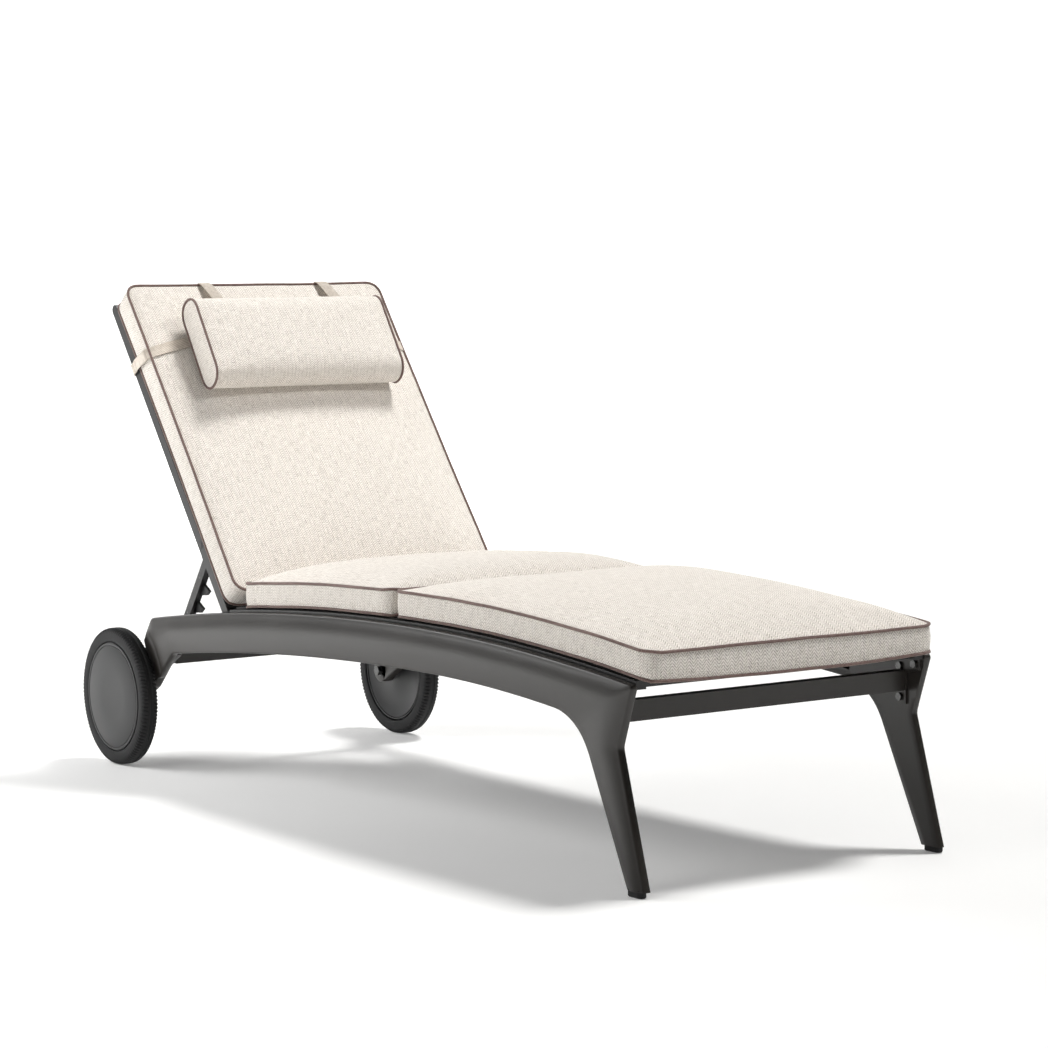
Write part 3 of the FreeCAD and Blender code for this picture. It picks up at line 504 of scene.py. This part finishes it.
def tyre(hand, side):
    radius, inner, outer = wheel_extent(hand, "tyre")
    half = (outer - inner) / 2
    section = [(radius - drop, -wide * half) for drop, wide in TYRE_SECTION]
    section += [(r, -w) for r, w in reversed(section[:-1])]
    last = len(section)
    shoulder = {5, 6, 7, last - 6, last - 7, last - 8}
    steps = TREAD_BLOCKS * 3

    def place(i, j):
        r, w = section[j % last]
        if j % last in shoulder and i % 3 == 0:
            r -= TREAD_DEPTH
            w *= 0.97
        a = FULL_TURN * (i % steps) / steps
        return AXLE_LINE + Vector((r * math.cos(a), side * ((inner + outer) / 2 + w), r * math.sin(a)))

    bm = sheet_of(steps, last, place)
    bmesh.ops.remove_doubles(bm, verts=bm.verts, dist=1e-6)
    return bm


def spun(points, side):
    """A turned piece: (radius, distance from the lounger's middle) points spun round the axle."""
    bm = bmesh.new()
    made = [bm.verts.new((WHEEL_AT.x + r, side * y, WHEEL_AT.z)) for r, y in points]
    chain = [bm.edges.new(pair) for pair in zip(made, made[1:])]
    bmesh.ops.spin(
        bm, geom=made + chain, cent=AXLE_LINE, axis=(0, 1, 0), angle=FULL_TURN, steps=128, use_merge=True
    )
    bmesh.ops.remove_doubles(bm, verts=bm.verts, dist=1e-6)
    return bm


def wheel_disc(hand, side):
    """The moulded disc: a flat face with a fine ring groove, and a collar round the axle."""
    radius, inner, outer = wheel_extent(hand, "wheel_hub")
    collar, face, lip, web = inner + 0.0045, inner + 0.0065, inner + 0.0030, outer - 0.0060
    points = [(0.0135, inner), (0.0200, inner), (0.0230, lip), (0.0255, collar), (0.1080, collar)]
    points += [(0.1086, inner + 0.0041), (0.1092, face), (0.1108, face), (0.1114, inner + 0.0036)]
    points += [(0.1122, lip), (radius - 0.0010, lip), (radius - 0.0002, inner + 0.0040)]
    points += [(radius - 0.0002, outer - 0.0010), (radius - 0.0015, outer), (0.1165, outer)]
    points += [(0.1163, web), (0.0135, web), (0.0135, inner)]
    return spun(points, side)


def wheel_cap(hand, side):
    """The outer cover: a very slightly dished disc with a rolled edge."""
    radius, inner, outer = wheel_extent(hand, "wheel_cover")
    groove = outer - 0.0014
    points = [(0.0, inner), (radius - 0.0004, inner), (radius, inner + 0.0004), (radius, groove)]
    points += [(radius - 0.0004, outer - 0.0005), (radius - 0.0014, outer), (radius - 0.0040, outer)]
    points += [(radius - 0.0052, outer - 0.0003), (radius - 0.0058, groove), (radius - 0.0066, groove)]
    points += [(radius - 0.0072, outer - 0.0004), (radius - 0.0084, outer)]
    points += [(0.050, outer - 0.0006), (0.0, outer - 0.0008)]
    return spun(points, side)


for side, hand in ((1, "left"), (-1, "right")):
    wheel = f"{hand}_wheel"
    keep(f"{hand}_treaded_tyre", tyre(hand, side), "tyre_rubber", wheel, [f"{hand}_tyre"], 35)
    keep(f"{hand}_wheel_disc", wheel_disc(hand, side), "hub_plastic", wheel, [f"{hand}_wheel_hub"], 35)
    keep(f"{hand}_wheel_cap", wheel_cap(hand, side), "hub_plastic", wheel, [f"{hand}_wheel_cover"], 35)


# Cushions: a block of cloth panels, crowned and pinched, then blown up against its own seams


def panel_block(counts):
    """A block whose faces are cut into counts of squares along, across and up."""
    bm = bmesh.new()
    bmesh.ops.create_cube(bm, size=1.0)
    for axis in range(3):
        run = [e for e in bm.edges if abs((e.verts[0].co - e.verts[1].co)[axis]) > 0.5]
        bmesh.ops.subdivide_edges(bm, edges=run, cuts=counts[axis] - 1, use_grid_fill=True)
    return bm


def rounded_plan(a, b, half_a, half_b, radius):
    """Moves a point of a rectangle so that the rectangle's corners become arcs."""
    past_a, past_b = abs(a) - (half_a - radius), abs(b) - (half_b - radius)
    if past_a <= 0 or past_b <= 0:
        return a, b
    reach = max(past_a, past_b) / math.hypot(past_a, past_b)
    return (
        math.copysign(half_a - radius + past_a * reach, a),
        math.copysign(half_b - radius + past_b * reach, b),
    )


BLOW_FRAMES = 20


def blow_up(piece, seams, pressure, caps):
    """Cloth under pressure, held along its seams, with a cap on how far each point may move."""
    scene.frame_set(1)
    group = piece.vertex_groups.new(name="seams")
    group.add(seams, 1.0, "REPLACE")
    cloth = piece.modifiers.new("cloth", "CLOTH")
    settings = cloth.settings
    settings.quality = 5
    settings.mass = 0.25
    settings.tension_stiffness = 12
    settings.compression_stiffness = 12
    settings.shear_stiffness = 6
    settings.bending_stiffness = 0.6
    settings.use_pressure = True
    settings.uniform_pressure_force = pressure
    settings.vertex_group_mass = "seams"
    settings.effector_weights.gravity = 0
    cloth.collision_settings.use_collision = False
    cloth.point_cache.frame_start = 1
    cloth.point_cache.frame_end = BLOW_FRAMES
    for number in range(1, BLOW_FRAMES + 1):
        scene.frame_set(number)
    blown = piece.evaluated_get(bpy.context.evaluated_depsgraph_get()).data
    places = [v.co.copy() for v in blown.vertices]
    piece.modifiers.remove(cloth)
    piece.vertex_groups.remove(group)
    for v, place, cap in zip(piece.data.vertices, places, caps):
        step = place - v.co
        far = step.length
        if far > 1e-9:
            v.co += step * (cap * math.tanh(far / cap) / far)
    scene.frame_set(1)


def piping(name, places, radius, body):
    """A round piping cord through a closed line of places, made a mesh."""
    line = bpy.data.curves.new(name, "CURVE")
    line.dimensions = "3D"
    line.bevel_depth = radius
    line.bevel_resolution = 2
    run = line.splines.new("POLY")
    run.points.add(len(places) - 1)
    for point, place in zip(run.points, places):
        point.co = (*place, 1.0)
    run.use_cyclic_u = True
    holder = bpy.data.objects.new(name, line)
    mesh = bpy.data.meshes.new_from_object(holder)
    bpy.data.objects.remove(holder)
    bm = bmesh.new()
    bm.from_mesh(mesh)
    bmesh.ops.remove_doubles(bm, verts=bm.verts, dist=1e-6)
    keep(name, bm, "piping", body, (), 60)


def seam_ring(shares, level):
    """The numbers of the points on one level's rim, in order round it."""
    ring = []
    for number, (a, b, c) in enumerate(shares):
        if abs(c - level) < 1e-4 and max(abs(a), abs(b)) > 0.4999:
            ring.append((number, a, b))

    def round_rim(item):
        _, a, b = item
        if b < -0.4999 and a < 0.4999:
            return a + 0.5
        if a > 0.4999 and b < 0.4999:
            return 1 + b + 0.5
        if b > 0.4999 and a > -0.4999:
            return 2 + 0.5 - a
        return 3 + 0.5 - b

    return [number for number, _, _ in sorted(ring, key=round_rim)]


def cut_panels(piece, shares, size):
    """Lays out each face of the block on its cut panel, in metres, so the weave follows the cloth."""
    layer = piece.data.uv_layers.new(name="cut")
    for face in piece.data.polygons:
        middle = Vector((0, 0, 0))
        for number in face.vertices:
            middle += Vector([s * 2 for s in shares[number]])
        middle /= len(face.vertices)
        flat = max(range(3), key=lambda axis: abs(middle[axis]))
        for corner in face.loop_indices:
            a, b, c = shares[piece.data.loops[corner].vertex_index]
            if flat == 2:
                place = (b * size[1], a * size[0])
            elif flat == 1:
                place = (a * size[0], c * size[2] + 0.3)
            else:
                place = (b * size[1], c * size[2] + 0.3)
            layer.data[corner].uv = place


def subdivide_smoothly(piece):
    smoother = piece.modifiers.new("smooth cloth", "SUBSURF")
    smoother.levels = 1
    smoother.render_levels = 1


CUSHION_HALF = 0.316
CUSHION_SQUARE = 0.009
PLAN_CORNER = 0.031
SIDE_SLOPE = 0.045
END_SLOPES = (0.045, 0.045)
CUSHION_PIPING = 0.0029
DRIFT = 0.0022
PUCKER = 0.0014
WANDER = 0.0012
UNDER_BULGE = 0.0045
SIDE_BELLY = 0.0022
END_PINCH = 0.002
SIDE_PINCH = 0.003


def boxed_cushion(name, node, body, bed, ends, heights, crown, front_sag=0.0, slopes=END_SLOPES):
    """A boxed cushion with piped seams, on its bed. Its crown falls away over `slopes` at its two ends."""
    start, end = ends
    length = end - start
    low, high = heights
    counts = (round(length / CUSHION_SQUARE), round(CUSHION_HALF * 2 / CUSHION_SQUARE), 8)
    bm = panel_block(counts)
    shares = [tuple(v.co) for v in bm.verts]
    for v in bm.verts:
        a, b, c = v.co
        flat = (a * length, b * CUSHION_HALF * 2)
        along, across = rounded_plan(*flat, length / 2, CUSHION_HALF, PLAN_CORNER)
        from_end = length / 2 - abs(along)
        from_side = CUSHION_HALF - abs(across)
        slope = slopes[1] if along > 0 else slopes[0]
        dome = 1 - math.exp(-max(from_end, 0) / slope)
        dome *= 1 - math.exp(-max(from_side, 0) / SIDE_SLOPE)
        height = low + (high - low) * (c + 0.5)
        drift = noise.noise(Vector((along * 5, across * 5, start * 9))) * DRIFT
        pucker = noise.noise(Vector((along * 34, across * 34, 4.0 + start))) * PUCKER
        near = math.exp(-max(min(from_end, from_side), 0) / 0.03)
        if c > 0.4999:
            height += crown * dome + drift * dome + pucker * near * min(dome * 6, 1)
        if c < -0.4999:
            height -= UNDER_BULGE * min(min(from_end, from_side) / 0.02, 1)
        if a > 0 and c < 0.4999:
            lip = smooth_step(0.09, 0.0, length / 2 - along)
            height -= front_sag * (0.5 - c) * lip * (1 - (2 * b) ** 2)
        if abs(c) < 0.4999:
            belly = math.cos(math.pi * c) * SIDE_BELLY
            along += math.copysign(belly, a) if abs(a) > 0.4999 else 0
            across += math.copysign(belly, b) if abs(b) > 0.4999 else 0
        along -= END_PINCH * math.sin(math.pi * (b + 0.5)) ** 0.6 * a * 2
        across -= SIDE_PINCH * math.sin(math.pi * (a + 0.5)) ** 0.6 * b * 2
        wander = noise.noise(Vector((along * 9, across * 9, 2.0 + start))) * WANDER
        v.co = bed((start + end) / 2 + along, across, height + wander)
    piece = keep(name, bm, "cushion_fabric", body, [node], 180)
    cut_panels(piece, shares, (length, CUSHION_HALF * 2, high - low))
    top, foot = seam_ring(shares, 0.5), seam_ring(shares, -0.5)
    under = [i for i, (a, b, c) in enumerate(shares) if c < -0.4999]
    caps = [0.010 if c > 0.4999 else 0.0025 for a, b, c in shares]
    blow_up(piece, top + under, 2.5, caps)
    for ring, tag in ((top, "upper"), (foot, "lower")):
        places = [piece.data.vertices[i].co.copy() for i in ring]
        piping(f"{name}_{tag}_piping", places, CUSHION_PIPING, body)
    subdivide_smoothly(piece)
    return piece


seat_low, seat_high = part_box("seat_cushion")
leg_low, leg_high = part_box("leg_cushion")
SEAT_ENDS = (seat_low.x, seat_high.x)
LEG_ENDS = (leg_low.x, leg_high.x - 0.002)
BACK_ENDS = (0.022, 0.798)
SEAT_HEIGHTS = (0.0115, 0.058)
BACK_HEIGHTS = (0.020, 0.075)
boxed_cushion(
    "seat_pad", "seat_cushion", "base", on_seat, SEAT_ENDS, SEAT_HEIGHTS,
    crown=0.034, slopes=(0.045, 0.030),
)
boxed_cushion(
    "leg_pad", "leg_cushion", "base", on_seat, LEG_ENDS, SEAT_HEIGHTS,
    crown=0.030, front_sag=0.007, slopes=(0.080, 0.038),
)
back_pad = boxed_cushion(
    "back_pad", "back_cushion", "back", on_back, BACK_ENDS, BACK_HEIGHTS, crown=0.018
)

# The pillow: a long stuffed tube with flat piped ends

PILLOW_HALF = 0.229
PILLOW_MIDDLE = (0.5955, 0.1365)
PILLOW_REACH = (0.1045, 0.0345)
PILLOW_LEAN = math.radians(4)
PILLOW_SQUARE = 0.008
PILLOW_CORNER = 0.033
PILLOW_SWELL = 0.10
PILLOW_PIPING = 0.0027
GATHER = 0.006


def pillow():
    half_along, half_off = PILLOW_REACH
    counts = (round(half_along * 2 / PILLOW_SQUARE), round(PILLOW_HALF * 2 / PILLOW_SQUARE), 10)
    bm = panel_block(counts)
    shares = [tuple(v.co) for v in bm.verts]
    for v in bm.verts:
        a, b, c = v.co
        section = (a * half_along * 2, c * half_off * 2)
        along, off = rounded_plan(*section, half_along, half_off, PILLOW_CORNER)
        swell = 1 + PILLOW_SWELL * (1 - abs(b * 2) ** 5)
        across = b * PILLOW_HALF * 2
        from_seam = PILLOW_HALF - abs(across)
        gather = noise.noise(Vector((along * 80, across * 7, off * 80))) * GATHER
        gather *= math.exp(-from_seam / 0.03) * min(from_seam / 0.012, 1)
        sag = 0.92 if off < 0 else 1.06
        off = off * swell * sag + gather
        along = along * (1 + 0.012 * (1 - abs(b * 2) ** 4))
        turned_along = along * math.cos(PILLOW_LEAN) - off * math.sin(PILLOW_LEAN)
        turned_off = along * math.sin(PILLOW_LEAN) + off * math.cos(PILLOW_LEAN)
        v.co = on_back(PILLOW_MIDDLE[0] + turned_along, across, PILLOW_MIDDLE[1] + turned_off)
    piece = keep("head_pillow", bm, "cushion_fabric", "headrest", ["headrest_pillow"], 180)
    cut_panels(piece, shares, (half_along * 2, PILLOW_HALF * 2, half_off * 2))
    swapped = [(a, c, b) for a, b, c in shares]
    rings = [seam_ring(swapped, level) for level in (0.5, -0.5)]
    caps = [0.008 if abs(b) < 0.4999 else 0.003 for a, b, c in shares]
    blow_up(piece, rings[0] + rings[1], 3.0, caps)
    for ring, tag in zip(rings, ("left", "right")):
        places = [piece.data.vertices[i].co.copy() for i in ring]
        piping(f"pillow_{tag}_piping", places, PILLOW_PIPING, "headrest")
    subdivide_smoothly(piece)


pillow()

# Straps and slings

cloth_points = [v.co for v in back_pad.data.vertices]
surface = BVHTree.FromPolygons(cloth_points, [p.vertices for p in back_pad.data.polygons])
STRAP_THICK = 0.0016
STRAP_HALF = 0.0135
TAPE_HALF = 0.0125
TAPE_ALONG = 0.619
BEHIND_BACK = -0.0128
HEM = 0.0004


def cloth_front(along, across):
    """Height of the back cushion's face at a place on it."""
    hit = surface.ray_cast(on_back(along, across, 0.3), -OFF_BACK, 0.4)[0]
    return (hit - HINGE).dot(OFF_BACK) if hit else 0.080


def cloth_top(across, height):
    """How far up the back the cushion's top end reaches at a height off it."""
    hit = surface.ray_cast(on_back(1.0, across, height), -UP_BACK, 0.4)[0]
    return (hit - HINGE).dot(UP_BACK) if hit else 0.796


def strap(name, node, body, path, half_width, sideways, closed=False):
    """A flat tape laid along a path, with a raised stitched hem along both its edges."""
    half = [(0.0, 0.0), (0.86, 0.0), (0.93, HEM), (1.0, 0.0)]
    columns = [(-share, lift) for share, lift in reversed(half[1:])] + half
    count = len(path)

    def place(i, j):
        here = path[i % count]
        ahead = path[(i + 1) % count] if closed or i < count - 1 else here
        before = path[i - 1] if closed or i > 0 else here
        run = (ahead - before).normalized()
        out = run.cross(sideways).normalized()
        share, lift = columns[j]
        return here + sideways * half_width * share + out * lift

    bm = sheet_of(count if closed else count - 1, len(columns) - 1, place)
    bmesh.ops.remove_doubles(bm, verts=bm.verts, dist=1e-6)
    piece = keep(name, bm, "webbing", body, [node], 60)
    thick = piece.modifiers.new("tape", "SOLIDIFY")
    thick.thickness = STRAP_THICK
    thick.offset = 0
    return piece


def over_the_top(across):
    """From behind the pillow, through the air to the cushion's top seam, over the top and down behind."""
    path = [on_back(s, across, 0.1010) for s in spread(0.640, 0.672, 4)]
    path += [on_back(0.684, across, 0.1075), on_back(0.694, across, 0.1165), on_back(0.702, across, 0.1200)]
    path += [on_back(0.712, across, 0.1190), on_back(0.745, across, 0.1065), on_back(0.775, across, 0.0945)]
    path += [on_back(0.790, across, 0.0870), on_back(0.798, across, 0.0800)]
    for height in spread(0.072, -0.006, 10):
        reach = max(cloth_top(across, max(height, 0.022)), 0.799) + STRAP_THICK
        path.append(on_back(reach, across, height))
    path += [on_back(s, across, BEHIND_BACK) for s in spread(0.796, 0.640, 12)]
    return path


for hand in ("left", "right"):
    low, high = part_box(f"{hand}_headrest_strap")
    across = (low.y + high.y) / 2
    path = over_the_top(across)
    name, node = f"{hand}_pillow_strap", f"{hand}_headrest_strap"
    hung = strap(name, node, None, path, STRAP_HALF, Vector((0, 1, 0)))
    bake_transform(hung)


def round_the_back():
    """Across the cushion's face, bowed up behind the pillow, round the side rails, and across behind."""

    def bow(y):
        return TAPE_ALONG + 0.024 * max(1 - (y / 0.31) ** 2, 0)

    path = [on_back(bow(y), y, cloth_front(bow(y), y) + 0.0026) for y in spread(-0.300, 0.300, 40)]
    side = [(0.3125, 0.076), (0.3195, 0.070), (0.3205, 0.055), (0.3205, 0.035)]
    side += [(0.320, 0.018), (0.317, 0.006), (0.3155, -0.006), (0.3145, -0.011)]
    path += [on_back(TAPE_ALONG + 0.2 * (0.076 - off), y, off) for y, off in side]
    path += [on_back(0.636, y, BEHIND_BACK) for y in spread(0.311, -0.311, 30)]
    path += [on_back(TAPE_ALONG + 0.2 * (0.076 - off), -y, off) for y, off in reversed(side)]
    return path


strap("cross_tape", "cross_strap", "back", round_the_back(), TAPE_HALF, UP_BACK, True)

SLING_THICK = 0.0014
SLING_SAG = 0.003


def sling(name, node, body, bed, ends, half_width, height):
    """A stretched mesh, let down a little between its rails."""

    def place(i, j):
        along = ends[0] + (ends[1] - ends[0]) * i / 60
        across = half_width * (j / 20 - 1)
        return bed(along, across, height - SLING_SAG * (1 - (across / half_width) ** 2))

    piece = keep(name, sheet_of(60, 40, place), "sling_mesh", body, [node], 60)
    thick = piece.modifiers.new("mesh", "SOLIDIFY")
    thick.thickness = SLING_THICK
    thick.offset = 0


sling("seat_mesh", "seat_sling", "base", on_seat, (-0.418, 0.956), 0.311, 0.0058)
sling("back_mesh", "back_sling", "back", on_back, (0.022, 0.794), 0.306, 0.0122)

# Floor, backdrop, light and camera

VIEW_TURN = math.radians(55.61645)
VIEW_FALL = math.radians(4.55789)
VIEW_ROLL = math.radians(-0.76103)
VIEW_FROM = (4.97821, -3.28601, 1.02090)
away = Vector((-math.sin(VIEW_TURN), math.cos(VIEW_TURN), 0))
forward = away * math.cos(VIEW_FALL) - Vector((0, 0, math.sin(VIEW_FALL)))
level = Vector((math.cos(VIEW_TURN), math.sin(VIEW_TURN), 0))
plumb = level.cross(forward)
right = level * math.cos(VIEW_ROLL) + plumb * math.sin(VIEW_ROLL)
above = plumb * math.cos(VIEW_ROLL) - level * math.sin(VIEW_ROLL)
lens = bpy.data.cameras.new("camera")
lens.lens = 104.258
lens.sensor_width = 36
camera = bpy.data.objects.new("camera", lens)
facing = Matrix((right, above, -forward)).transposed().to_4x4()
camera.matrix_world = Matrix.Translation(VIEW_FROM) @ facing
scene.collection.objects.link(camera)
scene.camera = camera

FLOOR_START = -20.0
FLOOR_END = 14.0
FLOOR_HALF = 26.0
SWEEP = 3.0
WALL_STEP = 0.9
FLOOR_ROWS = 20
SWEEP_ROWS = 24
WALL_ROWS = 10
PAPER_SPLIT = 6.5


def sweep_place(i, j):
    """The studio floor, which curves up into the backdrop."""
    sideways = level * (j / 8 - 1) * FLOOR_HALF
    if i <= FLOOR_ROWS:
        return away * (FLOOR_START + (FLOOR_END - FLOOR_START) * i / FLOOR_ROWS) + sideways
    if i <= FLOOR_ROWS + SWEEP_ROWS:
        a = math.pi / 2 * (i - FLOOR_ROWS) / SWEEP_ROWS
        risen = Vector((0, 0, SWEEP * (1 - math.cos(a))))
        return away * (FLOOR_END + SWEEP * math.sin(a)) + sideways + risen
    risen = Vector((0, 0, SWEEP + (i - FLOOR_ROWS - SWEEP_ROWS) * WALL_STEP))
    return away * (FLOOR_END + SWEEP) + sideways + risen


def paper(name, glow):
    """Pale studio paper, which glows evenly by its own emission."""
    values = {"Roughness": 0.9, "Specular IOR Level": 0.05}
    values.update({"Emission Color": (1, 1, 1, 1), "Emission Strength": glow})
    made, tree, shader = finish_base(name, values)
    place = add(tree, "TexCoord", {}, {}).outputs["Object"]
    mottle = add(tree, "TexNoise", {}, {"Vector": place, "Scale": 1.3, "Detail": 4.0})
    colour = add(tree, "ValToRGB", {}, {"Fac": mottle}, [(0.35, "#f3f3f2"), (0.65, "#f8f8f7")])
    feed(tree, shader, {"Base Color": colour})
    return made


sweep = sheet_of(FLOOR_ROWS + SWEEP_ROWS + WALL_ROWS, 16, sweep_place)
bmesh.ops.recalc_face_normals(sweep, faces=sweep.faces)
for face in sweep.faces:
    face.material_index = 0 if face.calc_center_median().length < PAPER_SPLIT else 1
mesh = bpy.data.meshes.new("studio_sweep")
sweep.to_mesh(mesh)
sweep.free()
mesh.shade_smooth()
mesh.materials.append(paper("pale studio floor", 0.17))
mesh.materials.append(paper("lit studio wall", 0.95))
floor = bpy.data.objects.new("studio_sweep", mesh)
scene.collection.objects.link(floor)
floor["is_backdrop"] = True


LOUNGER_KEY_FROM = (0.10, 0.32, 0.94)
BACK_KEY_FROM = (0.80, 0.42, 0.70)
FLOOR_KEY_FROM = (0.10, 1.95, 3.8)
ROOM_BRIGHT_SIDE = (0.20, -0.06, 0.97)
SOFT_BOX = 2.4


def soft_light(name, at, aim, watts, tint):
    """A round soft box, turned towards its aim."""
    lamp = bpy.data.lights.new(name, "AREA")
    lamp.shape = "DISK"
    lamp.size = SOFT_BOX
    lamp.energy = watts
    lamp.color = tint
    holder = bpy.data.objects.new(name, lamp)
    holder.location = at
    holder.rotation_euler = (Vector(aim) - Vector(at)).to_track_quat("-Z", "Y").to_euler()
    scene.collection.objects.link(holder)


def key_light(name, come_from, energy, angle, lit):
    """A far key light on the given pieces alone, so the floor's shadow and the cloth's are set apart."""
    lamp = bpy.data.lights.new(name, "SUN")
    lamp.energy = energy
    lamp.angle = math.radians(angle)
    lamp.color = (1.0, 0.993, 0.982)
    holder = bpy.data.objects.new(name, lamp)
    holder.rotation_euler = Vector(come_from).to_track_quat("Z", "Y").to_euler()
    scene.collection.objects.link(holder)
    group = bpy.data.collections.new(name + " lights")
    for piece in lit:
        group.objects.link(piece)
    holder.light_linking.receiver_collection = group


UPRIGHT_NAMES = ("back_pad", "head_pillow", "pillow_", "cross_tape")
upright = [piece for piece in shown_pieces() if piece.name.startswith(UPRIGHT_NAMES)]
key_light("lounger key", LOUNGER_KEY_FROM, 3.25, 16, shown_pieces())
key_light("back key", BACK_KEY_FROM, 0.95, 10, upright)
key_light("floor key", FLOOR_KEY_FROM, 2.4, 15, [floor])
soft_light("side floor glow", (-2.5, -2.5, 2.0), (-2.5, -2.5, 0.0), 130, (1.0, 1.0, 1.0))
soft_light("upper fill", (0.6, -4.4, 4.2), (-0.3, 0.0, 0.6), 40, (1.0, 0.995, 0.985))

world = bpy.data.worlds.new("studio")
world.use_nodes = True
tree = world.node_tree
sky = add(tree, "TexCoord", {}, {}).outputs["Generated"]
towards = add(tree, "VectorMath", {"operation": "DOT_PRODUCT"}, {0: sky, 1: ROOM_BRIGHT_SIDE})
turned = {"Value": towards.outputs["Value"], "From Min": 0.42, "From Max": 0.92}
strength = add(tree, "MapRange", {}, turned | {"To Min": 0.08, "To Max": 1.30})
feed(tree, tree.nodes["Background"], {"Strength": strength})
scene.world = world
scene.view_settings.view_transform = "Standard"
